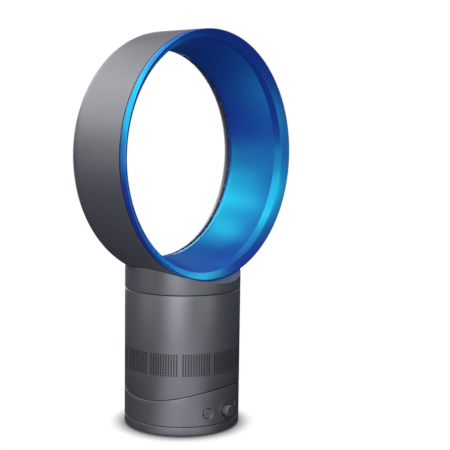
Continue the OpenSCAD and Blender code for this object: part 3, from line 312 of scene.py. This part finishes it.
# The shell is one closed grid, up the outside and down the inside. Each hole takes a cell of the grid,
# four rows high and two columns wide, and joins its twelve border points to twelve points on an oval.
# The second column of a pair starts two rows higher. The two share a winding border,
# sway x cos(pi / 2 x row), so that their holes sit close in one line, each an offset from its middle.
def makeBodyShell():
    r, rIn = column["outerR"], column["outerR"] - column["wall"]
    a, sway, perPanel = grilleColumns()
    step = grille["rowPitch"] / 4
    rowCount = 4 * grille["rows"] + 3
    low = grille["low"] + grille["holeH"] / 2 - 2 * step
    wave = np.cos(np.pi / 2 * (np.arange(rowCount) - 2))[:, None]
    rowA = a + wave * sway / r
    rowZ = (low + step * np.arange(rowCount))[:, None]
    seamR = tilt["seamR"] - tilt["seamGap"] / 2
    soft, share = bodyShell["lowRound"], bodyShell["lowShare"]
    lowR = np.array([r - soft, r - share * soft, r])[:, None]
    lowZ = seamHeight(seamR, lowR, a) + np.array([0, share * soft, soft])[:, None]
    top, edge = bodyShell["top"], bodyShell["topEdge"]
    inShare, downShare = bodyShell["topShares"]
    rimR = np.array([r, r - inShare * edge, r - edge, rIn])[:, None]
    rimZ = np.array([top - edge, top - downShare * edge, top, top])[:, None]
    grid = np.concatenate([
        aroundColumn(lowR, a, lowZ), aroundColumn(r, rowA, rowZ), aroundColumn(rimR, a, rimZ),
        aroundColumn(rIn, rowA, rowZ)[::-1], aroundColumn(rIn, a, seamHeight(seamR, rIn, a))[None],
    ])
    rows, columns = grid.shape[:2]

    # Every hole by its panel, its pair, its side of the pair and its place up the column
    panel, pair, side, hole = np.meshgrid(
        np.arange(grille["panels"]), np.arange(grille["pairs"]), [0, 1], np.arange(grille["rows"]),
        indexing="ij")
    pairColumn = (panel * perPanel + 4 * pair).ravel()
    side = side.ravel()
    firstColumn = pairColumn + 2 * side
    firstRow = 4 * hole.ravel() + 2 * side
    ringTurn = np.radians(np.arange(-90, 270, 30))
    lineA = a[pairColumn + 2] + grille["offset"] / r * (2 * side - 1)
    holeA = lineA[:, None] + grille["holeW"] / 2 * np.cos(ringTurn) / r
    holeZ = low + step * (firstRow[:, None] + 2) + grille["holeH"] / 2 * np.sin(ringTurn)
    outRing = grid[..., 0].size + np.arange(holeA.size).reshape(holeA.shape)
    inRing = outRing + holeA.size

    # The cell's border points, anticlockwise from the middle of its foot, on the outside and the inside
    borderColumn = np.array([1, 2, 2, 2, 2, 2, 1, 0, 0, 0, 0, 0])
    borderRow = np.array([0, 0, 1, 2, 3, 4, 4, 4, 3, 2, 1, 0])
    rowHere = firstRow[:, None] + borderRow
    columnHere = firstColumn[:, None] + borderColumn
    outStart = len(lowR)
    inEnd = outStart + 2 * rowCount + len(rimR) - 1
    outBorder = (outStart + rowHere) * columns + columnHere
    inBorder = (inEnd - rowHere) * columns + columnHere

    # The grid's faces but for those that the cells take
    cellRow, cellColumn = np.meshgrid(np.arange(4), np.arange(2), indexing="ij")
    cellRow = firstRow[:, None] + cellRow.ravel()
    cellColumn = firstColumn[:, None] + cellColumn.ravel()
    taken = np.zeros((rows, columns), bool)
    taken[outStart + cellRow, cellColumn] = True
    taken[inEnd - 1 - cellRow, cellColumn] = True
    faces = np.concatenate([
        gridFaces(rows, columns)[~taken.ravel()], ringFaces(outBorder, outRing),
        ringFaces(outRing, inRing), ringFaces(inRing, inBorder)])
    points = np.concatenate([
        grid.reshape(-1, 3), aroundColumn(r, holeA, holeZ).reshape(-1, 3),
        aroundColumn(rIn, holeA, holeZ).reshape(-1, 3)])
    makePiece("bodyShell", points, faces, "body", "grey_shell", "body_shell")


makeBodyShell()


# Base shell with the holes of its controls. A hole's rings are each a radius and how deep it lies.
baseShell = {
    "bottom": 13.0, "bottomEdge": 0.4, "topRound": 0.9, "controlZ": 27.5, "buttonTurn": 21.5,
    "cell": 9.0, "cellSteps": 8, "blendShares": (0.35, 0.7), "plainColumns": 108,
}
buttonHole = {"r": 6.3, "rings": [[8.3, 0], [7.35, 0], [7.2, 0.03], [6.7, 0.42], [6.38, 0.74], [6.3, 0.9]]}
knobHole = {"r": 7.2, "rings": [[8.5, 0], [7.55, 0], [7.42, 0.03], [7.27, 0.12], [7.2, 0.3]]}


# The shell's grid: up the outside, over the top edge that follows the tilt seam, and down the inside.
# Its first columns are the controls' square cells, and rowZ holds the rows that the cells share.
def baseGrid(turns, square):
    r, rIn = column["outerR"], column["outerR"] - column["wall"]
    cells = [turn + np.arcsin(square / r) for turn in turns]
    plain = np.linspace(cells[-1][-1], cells[0][0] + 2 * np.pi, baseShell["plainColumns"] + 2)[1:-1]
    a = np.concatenate([*cells, plain])
    low, edge, soft = baseShell["bottom"], baseShell["bottomEdge"], baseShell["topRound"]
    rowZ = baseShell["controlZ"] + square[:, None]
    seamR = tilt["seamR"] + tilt["seamGap"] / 2
    turn = np.radians(np.linspace(0, 90, 5))[:, None]
    topR = r - soft + soft * np.cos(turn)
    topZ = seamHeight(seamR, topR, a) - soft + soft * np.sin(turn)
    parts = [
        aroundColumn(np.array([[r - edge], [r]]), a, np.array([[low], [low + edge]])),
        aroundColumn(r, a, rowZ), aroundColumn(topR, a, topZ),
        aroundColumn(rIn, a, seamHeight(seamR, rIn, a))[None], aroundColumn(rIn, a, rowZ)[::-1],
        aroundColumn(rIn, a, low)[None],
    ]
    outStart = len(parts[0])
    inStart = sum(len(part) for part in parts[:4])
    return np.concatenate(parts), outStart, inStart


# Each control's cell goes from its square border over blended loops to a ring, down the ring's lip and
# through the wall. Depth is measured inwards from the round surface, at sqrt(R^2 - across^2) out. The
# border and the rings are all counted from the square's lower left corner, at 225 degrees.
def makeBaseShell():
    steps = baseShell["cellSteps"]
    turns = np.radians([-baseShell["buttonTurn"], 0, baseShell["buttonTurn"]])
    square = np.linspace(-baseShell["cell"], baseShell["cell"], steps + 1)
    grid, outStart, inStart = baseGrid(turns, square)
    rows, columns = grid.shape[:2]
    along = np.arange(steps)
    borderColumn = np.concatenate([along, 0 * along + steps, steps - along, 0 * along])
    borderRow = np.concatenate([0 * along, along, 0 * along + steps, steps - along])
    border = np.stack([square[borderColumn], square[borderRow]], -1)
    ringTurn = np.radians(np.linspace(225, 585, 4 * steps, endpoint=False))
    circle = np.stack([np.cos(ringTurn), np.sin(ringTurn)], -1)
    blend = np.array(baseShell["blendShares"])[:, None, None]
    taken = np.zeros((rows, columns), bool)
    points, faces = [grid.reshape(-1, 3)], []
    made = rows * columns
    for index, (turn, hole) in enumerate(zip(turns, [buttonHole, knobHole, buttonHole])):
        ringR, depth = np.array(hole["rings"]).T
        spread = border * (1 - blend) + circle * ringR[0] * blend
        flat = np.concatenate([spread, circle * ringR[:, None, None], circle[None] * hole["r"]])
        depth = np.concatenate([0 * blend.ravel(), depth, [0]])[:, None]
        level = np.full((len(flat), 1), column["outerR"])
        level[-1] -= column["wall"]
        out = np.sqrt(level ** 2 - flat[..., 0] ** 2) - depth
        points.append(beside(turn, flat[..., 0], flat[..., 1], out, baseShell["controlZ"]).reshape(-1, 3))
        firstColumn = index * (steps + 1)
        taken[outStart:outStart + steps, firstColumn:firstColumn + steps] = True
        taken[inStart:inStart + steps, firstColumn:firstColumn + steps] = True
        chain = np.vstack([
            (outStart + borderRow) * columns + firstColumn + borderColumn,
            made + np.arange(out.size).reshape(out.shape),
            (inStart + steps - borderRow) * columns + firstColumn + borderColumn,
        ])
        faces.append(ringFaces(chain[:-1], chain[1:]))
        made += out.size
    faces.insert(0, gridFaces(rows, columns)[~taken.ravel()])
    points, faces = np.concatenate(points), np.concatenate(faces)
    makePiece("baseShell", points, faces, "base", "grey_shell", "base_shell")


makeBaseShell()


# Buttons and knob. Their places from back to front are distances out from the column's axis.
cap = {
    "r": 5.75, "front": 72.5, "dish": 0.22, "round": 0.7, "flangeR": 7.5, "flange": (67.9, 69.1),
    "back": 60.7, "stemR": 2.0, "around": 96,
}
knob = {
    "r": 6.5, "ribs": 36, "ribSteps": 10, "ribDepth": 0.26, "back": 64.0, "gripStart": 73.0,
    "gripFull": 73.5, "gripSoft": 0.15, "front": 80.5, "round": 0.8, "dish": 0.2, "collarR": 5.9,
    "bevelShare": 0.1, "softShare": 0.7,
}


# A dished face and its rounded edge. The dish is a paraboloid, depth x (1 - (r / edge)^2).
def dishedFront(control, bevelSteps):
    edge = control["r"] - control["round"]
    dishR = np.linspace(0, edge, 8)
    dish = np.stack([dishR, control["front"] - control["dish"] * (1 - (dishR / edge) ** 2)], -1)
    bevel = arcPoints([edge, control["front"] - control["round"]], control["round"], 90, 0, bevelSteps)[1:]
    return dish, bevel


# A dished push button, turned about its own axis
def makeButton(name, node, angle):
    low, high = cap["flange"]
    profile = np.vstack([
        *dishedFront(cap, 8),
        [[cap["r"], high], [cap["flangeR"], high], [cap["flangeR"], low], [cap["stemR"], low],
         [cap["stemR"], cap["back"]], [0, cap["back"]]],
    ])
    a = np.linspace(0, 2 * np.pi, cap["around"], endpoint=False)
    r, out = profile[:, :1], profile[:, 1:]
    points = beside(math.radians(angle), r * np.cos(a), r * np.sin(a), out, baseShell["controlZ"])
    faces = gridFaces(len(profile), len(a), closeRows=False)
    makePiece(name, points, faces, node, "grey_control", node)


# The knob's ribs: radius = r - depth x share x (1 - cos(ribs x angle)) / 2. The share of the full depth
# is 0 on the dish, grows over the bevel to 1 on the grip and fades out where the grip ends.
def makeKnob():
    dish, bevel = dishedFront(knob, 6)
    grip = np.array([
        [knob["r"], knob["gripFull"]], [knob["r"] - knob["gripSoft"], knob["gripStart"] + knob["gripSoft"]],
        [knob["collarR"], knob["gripStart"]], [knob["collarR"], knob["back"]], [0, knob["back"]]])
    share = np.concatenate([
        0 * dish[:, 0], np.linspace(knob["bevelShare"], 1, len(bevel)), [1, knob["softShare"], 0, 0, 0]])
    profile = np.vstack([dish, bevel, grip])
    a = np.linspace(0, 2 * np.pi, knob["ribs"] * knob["ribSteps"], endpoint=False)
    r = profile[:, :1] - share[:, None] * knob["ribDepth"] * (1 - np.cos(knob["ribs"] * a)) / 2
    points = beside(0, r * np.cos(a), r * np.sin(a), profile[:, 1:], baseShell["controlZ"])
    faces = gridFaces(len(profile), len(a), closeRows=False)
    makePiece("speedKnob", points, faces, "knob", "grey_control", "speed_knob")


makeButton("powerButton", "power_button", -baseShell["buttonTurn"])
makeButton("oscillationButton", "oscillation_button", baseShell["buttonTurn"])
makeKnob()


# Foot shell
foot = {
    "bore": 10.0, "boreRound": 0.2, "deckZ": 9.8, "deckRound": 0.5, "topZ": 12.2, "topRound": 0.7,
    "lowZ": 0.8, "lowRound": 2.49, "around": 256,
}


# The foot's outer ring and deck: a rounded outline turned about the column
def makeFootShell():
    r, rIn = column["outerR"], column["outerR"] - column["wall"]
    outline = roundCorners(
        [[foot["bore"], foot["topZ"]], [r, foot["topZ"]], [r, foot["lowZ"]], [rIn, foot["lowZ"]],
         [rIn, foot["deckZ"]], [foot["bore"], foot["deckZ"]]],
        [foot["boreRound"], foot["topRound"], foot["lowRound"], 0, foot["deckRound"], foot["boreRound"]])
    a = np.linspace(0, 2 * np.pi, foot["around"], endpoint=False)
    points = aroundColumn(outline[:, :1], a, outline[:, 1:])
    makePiece("footShell", points, gridFaces(len(outline), len(a)), "foot", "grey_shell", "foot_shell")


makeFootShell()


# Shared shader effects


# Sets a node's inputs, each to a value or to the output of another node that feeds it
def setInputs(tree, node, inputs):
    for key, value in inputs.items():
        if isinstance(value, bpy.types.NodeSocket):
            tree.links.new(value, node.inputs[key])
        else:
            node.inputs[key].default_value = value


# A shader node with its settings and its inputs
def addNode(tree, kind, settings=None, inputs=None):
    node = tree.nodes.new("ShaderNode" + kind)
    for key, value in (settings or {}).items():
        setattr(node, key, value)
    setInputs(tree, node, inputs or {})
    return node


# The result of a sum on numbers and other nodes' outputs, in the order of the node's inputs
def addMath(tree, operation, *terms, clamp=False):
    settings = {"operation": operation, "use_clamp": clamp}
    return addNode(tree, "Math", settings, dict(enumerate(terms))).outputs[0]


# An empty node group with named inputs and outputs: an input is (name, type, value)
def newGroup(name, inputs, outputs):
    group = bpy.data.node_groups.new(name, "ShaderNodeTree")
    for socketName, kind, value in inputs:
        socket = group.interface.new_socket(socketName, in_out="INPUT", socket_type="NodeSocket" + kind)
        socket.default_value = value
    for socketName, kind in outputs:
        group.interface.new_socket(socketName, in_out="OUTPUT", socket_type="NodeSocket" + kind)
    return group, group.nodes.new("NodeGroupInput").outputs, group.nodes.new("NodeGroupOutput")


# Fine metal flakes under lacquer: each flake shifts the colour a little, and slow clouds shift the gloss
def flakeGroup():
    group, given, end = newGroup(
        "metalFlakes",
        [("Color", "Color", (0.5, 0.5, 0.5, 1)), ("Flakes Per Metre", "Float", 1500.0),
         ("Contrast", "Float", 0.1), ("Roughness", "Float", 0.4), ("Cloud", "Float", 0.04)],
        [("Color", "Color"), ("Roughness", "Float"), ("Height", "Float")])
    place = addNode(group, "TexCoord").outputs["Object"]
    flakes = addNode(group, "TexVoronoi", {"feature": "F1"}, {
        "Vector": place, "Scale": given["Flakes Per Metre"]})
    flake = addNode(group, "SeparateColor", None, {"Color": flakes.outputs["Color"]})
    flakeShift = addMath(group, "SUBTRACT", flake.outputs["Red"], 0.5)
    flakeShade = addMath(group, "MULTIPLY_ADD", flakeShift, given["Contrast"], 1.0)
    clouds = addNode(group, "TexNoise", None, {
        "Vector": place, "Scale": 38.0, "Detail": 3.0, "Roughness": 0.55})
    cloudShift = addMath(group, "SUBTRACT", clouds.outputs["Fac"], 0.5)
    cloudShade = addMath(group, "MULTIPLY", cloudShift, given["Cloud"])
    shade = addMath(group, "ADD", flakeShade, cloudShade)
    tinted = addNode(group, "VectorMath", {"operation": "SCALE"}, {0: given["Color"], "Scale": shade})
    peel = addNode(group, "TexNoise", None, {
        "Vector": place, "Scale": 420.0, "Detail": 2.0, "Roughness": 0.5})
    setInputs(group, end, {
        "Color": tinted.outputs[0], "Roughness": addMath(group, "ADD", given["Roughness"], cloudShade),
        "Height": peel.outputs["Fac"]})
    return group


# Dust that settles on faces that look up: a mask from the face's slope, broken up by noise
def dustGroup():
    group, given, end = newGroup(
        "settledDust", [("Amount", "Float", 0.1), ("Patches Per Metre", "Float", 90.0)],
        [("Mask", "Float")])
    place = addNode(group, "TexCoord").outputs["Object"]
    face = addNode(group, "NewGeometry")
    split = addNode(group, "SeparateXYZ", None, {0: face.outputs["Normal"]})
    slope = addNode(group, "MapRange", None, {
        "Value": split.outputs["Z"], "From Min": 0.35, "From Max": 1.0, "To Max": 1.0})
    patches = addNode(group, "TexNoise", None, {
        "Vector": place, "Scale": given["Patches Per Metre"], "Detail": 6.0, "Roughness": 0.7})
    spread = addNode(group, "MapRange", None, {
        "Value": patches.outputs["Fac"], "From Min": 0.3, "From Max": 0.75})
    both = addMath(group, "MULTIPLY", slope.outputs["Result"], spread.outputs["Result"])
    setInputs(group, end, {"Mask": addMath(group, "MULTIPLY", both, given["Amount"], clamp=True)})
    return group


# Moulded or cast grain: coarse and fine noise together, as a height and as a shade of the colour
def grainGroup():
    group, given, end = newGroup(
        "mouldGrain",
        [("Color", "Color", (0.5, 0.5, 0.5, 1)), ("Grains Per Metre", "Float", 900.0),
         ("Contrast", "Float", 0.2), ("Roughness", "Float", 0.6), ("Stretch", "Vector", (1.0, 1.0, 1.0))],
        [("Color", "Color"), ("Roughness", "Float"), ("Height", "Float")])
    place = addNode(group, "TexCoord").outputs["Object"]
    stretched = addNode(group, "VectorMath", {"operation": "MULTIPLY"}, {0: place, 1: given["Stretch"]})
    grain = addNode(group, "TexNoise", None, {
        "Vector": stretched.outputs[0], "Scale": given["Grains Per Metre"], "Detail": 4.0,
        "Roughness": 0.65})
    slow = addNode(group, "TexNoise", None, {"Vector": place, "Scale": 55.0, "Detail": 3.0})
    both = addMath(group, "ADD", grain.outputs["Fac"], slow.outputs["Fac"])
    shift = addMath(group, "SUBTRACT", both, 1.0)
    shade = addMath(group, "MULTIPLY_ADD", shift, given["Contrast"], 1.0)
    tinted = addNode(group, "VectorMath", {"operation": "SCALE"}, {0: given["Color"], "Scale": shade})
    setInputs(group, end, {
        "Color": tinted.outputs[0], "Height": grain.outputs["Fac"],
        "Roughness": addMath(group, "MULTIPLY", given["Roughness"], shade, clamp=True)})
    return group


effects = {"flakes": flakeGroup(), "dust": dustGroup(), "grain": grainGroup()}
print("effects made:", ", ".join(effects))


# Finishes: each has an effect with its values, a shader's own values, a relief and an amount of dust
dust = {"color": (0.42, 0.41, 0.40, 1), "dulls": 0.35}
looks = {
    "greyPaint": {
        "effect": "flakes", "dust": 0.03, "relief": {"Strength": 0.03, "Distance": 0.0004},
        "surface": {"Color": (0.275, 0.28, 0.305, 1), "Flakes Per Metre": 1400.0, "Contrast": 0.16,
                    "Roughness": 0.42, "Cloud": 0.05},
        "shader": {"Metallic": 0.75, "Coat Weight": 0.12, "Coat Roughness": 0.35, "Coat IOR": 1.45},
    },
    "bluePaint": {
        "effect": "flakes", "dust": 0.02, "relief": {"Strength": 0.02, "Distance": 0.0003},
        "surface": {"Color": (0.0044, 0.735, 0.80, 1), "Flakes Per Metre": 2200.0, "Contrast": 0.10,
                    "Roughness": 0.30, "Cloud": 0.04},
        "shader": {"Metallic": 0.97, "Coat Weight": 0.14, "Coat Roughness": 0.18, "Coat IOR": 1.45},
        "pigment": {"color": (0.045, 0.001, 0.80, 1), "share": 0.4},
    },
    "blackPlastic": {
        "effect": "grain", "dust": 0.03, "relief": {"Strength": 0.25, "Distance": 0.0003},
        "surface": {"Color": (0.012, 0.012, 0.014, 1), "Grains Per Metre": 1100.0, "Contrast": 0.35,
                    "Roughness": 0.55},
        "shader": {"Metallic": 0.0, "IOR": 1.5},
    },
    "blackRubber": {
        "effect": "grain", "dust": 0.05, "relief": {"Strength": 0.35, "Distance": 0.0003},
        "surface": {"Color": (0.018, 0.018, 0.018, 1), "Grains Per Metre": 600.0, "Contrast": 0.3,
                    "Roughness": 0.85},
        "shader": {"Metallic": 0.0, "IOR": 1.45},
    },
    "whitePlastic": {
        "effect": "grain", "dust": 0.04, "relief": {"Strength": 0.10, "Distance": 0.0002},
        "surface": {"Color": (0.62, 0.63, 0.62, 1), "Grains Per Metre": 700.0, "Contrast": 0.06,
                    "Roughness": 0.45},
        "shader": {"Metallic": 0.0, "IOR": 1.49},
    },
    "zincSteel": {
        "effect": "grain", "dust": 0.02, "relief": {"Strength": 0.12, "Distance": 0.0002},
        "surface": {"Color": (0.50, 0.51, 0.53, 1), "Grains Per Metre": 500.0, "Contrast": 0.25,
                    "Roughness": 0.32, "Stretch": (1.0, 1.0, 8.0)},
        "shader": {"Metallic": 1.0},
    },
    "circuitBoard": {
        "effect": "grain", "dust": 0.03, "relief": {"Strength": 0.2, "Distance": 0.0002},
        "surface": {"Color": (0.010, 0.11, 0.035, 1), "Grains Per Metre": 350.0, "Contrast": 0.5,
                    "Roughness": 0.35, "Stretch": (6.0, 1.0, 1.0)},
        "shader": {"Metallic": 0.0, "IOR": 1.55},
    },
    "greyFoam": {
        "effect": "grain", "dust": 0.0, "relief": {"Strength": 0.9, "Distance": 0.0008},
        "surface": {"Color": (0.035, 0.035, 0.038, 1), "Grains Per Metre": 420.0, "Contrast": 0.9,
                    "Roughness": 0.95},
        "shader": {"Metallic": 0.0, "IOR": 1.4},
    },
}
slotFinish = {
    "grey_shell": "greyPaint", "grey_control": "greyPaint", "blue_liner": "bluePaint",
    "black_plastic": "blackPlastic", "black_rubber": "blackRubber", "white_plastic": "whitePlastic",
    "steel": "zincSteel", "circuit_board": "circuitBoard", "grey_foam": "greyFoam",
}


# A Principled shader fed by one surface effect, a bump and a veil of dust
def makeMaterial(name, look):
    material = bpy.data.materials.new(name)
    material.use_nodes = True
    tree = material.node_tree
    surface = addNode(tree, "Group", {"node_tree": effects[look["effect"]]}, look["surface"]).outputs
    veil = addNode(tree, "Group", {"node_tree": effects["dust"]}, {"Amount": look["dust"]}).outputs["Mask"]
    dusty = addNode(tree, "Mix", {"data_type": "RGBA"}, {0: veil, 6: surface["Color"], 7: dust["color"]})
    rough = addMath(tree, "MULTIPLY_ADD", veil, dust["dulls"], surface["Roughness"], clamp=True)
    relief = addNode(tree, "Bump", None, {"Height": surface["Height"], **look["relief"]})
    paint = tree.nodes["Principled BSDF"]
    setInputs(tree, paint, look["shader"])
    setInputs(tree, paint, {
        "Base Color": dusty.outputs[2], "Roughness": rough, "Normal": relief.outputs["Normal"]})
    if "pigment" in look:
        addPigment(tree, look["pigment"], paint, relief.outputs["Normal"])
    return material


# A deep pigment under bright flakes, which shows between their highlights, for a share of the surface
def addPigment(tree, pigment, flakes, normal):
    deep = addNode(tree, "BsdfDiffuse", None, {"Color": pigment["color"], "Normal": normal})
    layers = addNode(tree, "MixShader", None, {
        "Fac": pigment["share"], 1: flakes.outputs[0], 2: deep.outputs[0]})
    setInputs(tree, tree.nodes["Material Output"], {"Surface": layers.outputs[0]})


# Faces that lie deeper than the paint reaches take a piece's second finish, near-black: partly the bare
# moulding, partly painted shade that darkens the holes and the inside seen through them
def bareInsideAndHoleShade(piece):
    mesh = piece.data
    points = np.empty(len(mesh.vertices) * 3)
    mesh.vertices.foreach_get("co", points)
    depth = column["outerR"] - np.hypot(points[::3], points[1::3]) / millimetre
    corners = np.empty(len(mesh.loops), int)
    mesh.loops.foreach_get("vertex_index", corners)
    starts = np.empty(len(mesh.polygons), int)
    mesh.polygons.foreach_get("loop_start", starts)
    deepest = np.maximum.reduceat(depth[corners], starts)
    bareOrShaded = deepest > column["wall"] - bodyShell["paintDepth"]
    mesh.polygons.foreach_set("material_index", bareOrShaded.astype(int))


finishes = {name: makeMaterial(name, look) for name, look in looks.items()}
nodeSlot = {entry["node"]: entry["material_slot"] for entry in frame["record"]["subparts"]}
for nodeName, node in nodes.items():
    node.data.materials.clear()
    node.data.materials.append(finishes[slotFinish[nodeSlot[nodeName]]])
for pieceName, slot in pieceSlots.items():
    bpy.data.objects[pieceName].data.materials.append(finishes[slotFinish[slot]])
# The body shell's second finish is near-black: bare moulding and painted shade in its holes
bpy.data.objects["bodyShell"].data.materials.append(finishes["blackPlastic"])
bareInsideAndHoleShade(bpy.data.objects["bodyShell"])
print("finishes given:", len(finishes))


# Camera, placed and turned as the photograph's: its place in metres, its turn, pitch and roll in degrees
view = {
    "place": (-0.8949, -0.8088, 0.3742), "turn": -50.367, "pitch": -5.838, "roll": 0.796,
    "lens": 77.384, "sensorWidth": 36, "near": 0.05, "far": 60,
}


def makeCamera():
    turn, pitch, roll = (math.radians(view[key]) for key in ("turn", "pitch", "roll"))
    right = Vector((math.cos(turn), math.sin(turn), 0))
    ahead = Vector((-math.sin(turn) * math.cos(pitch), math.cos(turn) * math.cos(pitch), math.sin(pitch)))
    up = right.cross(ahead)
    rolledRight = math.cos(roll) * right + math.sin(roll) * up
    rolledUp = math.cos(roll) * up - math.sin(roll) * right
    data = bpy.data.cameras.new("camera")
    data.lens = view["lens"]
    data.sensor_width = view["sensorWidth"]
    data.clip_start = view["near"]
    data.clip_end = view["far"]
    camera = bpy.data.objects.new("camera", data)
    turned = Matrix((rolledRight, rolledUp, -ahead)).transposed()
    camera.matrix_world = Matrix.Translation(view["place"]) @ turned.to_4x4()
    bpy.context.scene.collection.objects.link(camera)
    bpy.context.scene.camera = camera


makeCamera()
print("camera placed")


# Floor. The camera sees it white, darker only close under the part: a painted contact shadow. Other rays
# see the floor glow with painted light, dim near and far, and a pale painted pool of light that reaches
# from the foot towards the camera. Reaches are in metres.
ground = {
    "size": 30.0, "near": (0.024, 0.030, 0.050, 1), "far": (0.045, 0.080, 0.120, 1),
    "farReach": (0.9, 1.7), "glow": (0.680, 0.620, 0.700, 1), "glowWay": (-0.74, -0.67, 0.0),
    "glowSpread": (0.70, 0.96), "glowStart": (0.070, 0.095), "glowEnd": (1.5, 0.9),
    "shadeReach": 0.022, "shadeDark": 0.15, "shadeOpen": (0.42, 0.98), "shadeSamples": 16,
}
white = (1.0, 1.0, 1.0, 1)


# Shows one shader to the camera and another to every other ray
def splitByCamera(tree, output, seen, others):
    path = addNode(tree, "LightPath")
    mix = addNode(tree, "MixShader", None, {
        "Fac": path.outputs["Is Camera Ray"], 1: others.outputs[0], 2: seen.outputs[0]})
    setInputs(tree, tree.nodes[output], {"Surface": mix.outputs[0]})


# The floor's painted light to other rays: a colour it glows with, not light it reflects. A soft mask is 0
# at the
# first number of its reach and 1 at the second, and the glow's mask, a painted pool of light, is the
# product of three:
# its spread about a heading, its start and its end.
def groundPaintedLight(tree):
    place = addNode(tree, "TexCoord").outputs["Object"]
    away = addNode(tree, "VectorMath", {"operation": "LENGTH"}, {0: place}).outputs["Value"]
    heading = addNode(tree, "VectorMath", {"operation": "NORMALIZE"}, {0: place}).outputs["Vector"]
    ahead = addNode(tree, "VectorMath", {"operation": "DOT_PRODUCT"}, {0: heading, 1: ground["glowWay"]})

    def softMask(value, reach):
        low, high = ground[reach]
        return addNode(tree, "MapRange", {"interpolation_type": "SMOOTHSTEP"}, {
            "Value": value, "From Min": low, "From Max": high}).outputs["Result"]

    band = addMath(tree, "MULTIPLY", softMask(away, "glowStart"), softMask(away, "glowEnd"))
    glow = addMath(tree, "MULTIPLY", softMask(ahead.outputs["Value"], "glowSpread"), band)
    plain = addNode(tree, "Mix", {"data_type": "RGBA"}, {
        0: softMask(away, "farReach"), 6: ground["near"], 7: ground["far"]})
    lit = addNode(tree, "Mix", {"data_type": "RGBA"}, {0: glow, 6: plain.outputs[2], 7: ground["glow"]})
    return lit.outputs[2]


def makeFloor():
    s = ground["size"] / 2
    mesh = bpy.data.meshes.new("floor")
    mesh.from_pydata([(-s, -s, 0), (s, -s, 0), (s, s, 0), (-s, s, 0)], [], [(0, 1, 2, 3)])
    floor = bpy.data.objects.new("floor", mesh)
    bpy.context.scene.collection.objects.link(floor)
    material = bpy.data.materials.new("paleFloor")
    material.use_nodes = True
    tree = material.node_tree
    tree.nodes.remove(tree.nodes["Principled BSDF"])
    # Painted contact shadow: the white the camera sees is dimmed where occlusion finds the part close
    shade = addNode(tree, "AmbientOcclusion", {"samples": ground["shadeSamples"]}, {
        "Distance": ground["shadeReach"]})
    low, high = ground["shadeOpen"]
    level = addNode(tree, "MapRange", None, {
        "Value": shade.outputs["AO"], "From Min": low, "From Max": high, "To Min": ground["shadeDark"]})
    seen = addNode(tree, "Emission", None, {"Color": white, "Strength": level.outputs["Result"]})
    # Other rays get painted light: the floor glows with this colour instead of reflecting the lamps
    others = addNode(tree, "Emission", None, {"Color": groundPaintedLight(tree)})
    splitByCamera(tree, "Material Output", seen, others)
    mesh.materials.append(material)


# World: white to the camera, and no light of its own
def makeWorld():
    world = bpy.data.worlds.new("studio")
    bpy.context.scene.world = world
    world.use_nodes = True
    tree = world.node_tree
    others = tree.nodes["Background"]
    others.inputs["Strength"].default_value = 0.0
    splitByCamera(tree, "World Output", addNode(tree, "Background", None, {"Color": white}), others)


# Square soft boxes that all look at one point. Each has its turn round the part from the front and its
# rise above level, both in degrees, its power in watts and its size in metres.
boxAim = {"point": (0, 0, 0.27), "distance": 1.8, "lowest": 0.5}
softBoxes = [
    {"name": "lowLeftBackBox", "turn": -120, "rise": 8, "power": 1.38, "size": 0.9},
    {"name": "lowBackBox", "turn": -160, "rise": 20, "power": 1.2, "size": 0.9},
    {"name": "lowLeftBox", "turn": -60, "rise": 8, "power": 5.7, "size": 0.9},
    {"name": "lowFrontBox", "turn": 0, "rise": 8, "power": 2.2, "size": 0.9},
    {"name": "rimBox", "turn": 150, "rise": 8, "power": 8.0, "size": 0.9},
    {"name": "backBox", "turn": -180, "rise": 35, "power": 5.2, "size": 1.1},
    {"name": "leftBackBox", "turn": -135, "rise": 35, "power": 4.96, "size": 1.1},
    {"name": "leftBox", "turn": -90, "rise": 35, "power": 5.11, "size": 1.1},
    {"name": "keyBox", "turn": -45, "rise": 35, "power": 10.5, "size": 1.1},
    {"name": "rightBox", "turn": 90, "rise": 35, "power": 5.46, "size": 1.1},
    {"name": "rightBackBox", "turn": 135, "rise": 35, "power": 0.74, "size": 1.1},
    {"name": "highLeftBackBox", "turn": -135, "rise": 62, "power": 2.86, "size": 1.1},
    {"name": "highKeyBox", "turn": -45, "rise": 62, "power": 3.0, "size": 1.1},
    {"name": "topBox", "turn": 0, "rise": 90, "power": 12.0, "size": 1.1},
]


def makeSoftBox(box):
    turn, rise = math.radians(box["turn"]), math.radians(box["rise"])
    away = Vector((math.sin(turn) * math.cos(rise), -math.cos(turn) * math.cos(rise), math.sin(rise)))
    data = bpy.data.lights.new(box["name"], "AREA")
    data.size = box["size"]
    data.energy = box["power"]
    light = bpy.data.objects.new(box["name"], data)
    aim = Vector(boxAim["point"])
    light.location = aim + away * boxAim["distance"]
    light.location.z = max(light.location.z, boxAim["lowest"])
    light.rotation_euler = (aim - light.location).to_track_quat("-Z", "Y").to_euler()
    bpy.context.scene.collection.objects.link(light)


makeFloor()
makeWorld()
for box in softBoxes:
    makeSoftBox(box)
bpy.context.scene.view_settings.view_transform = "Standard"
print("studio ready:", len(softBoxes), "soft boxes")
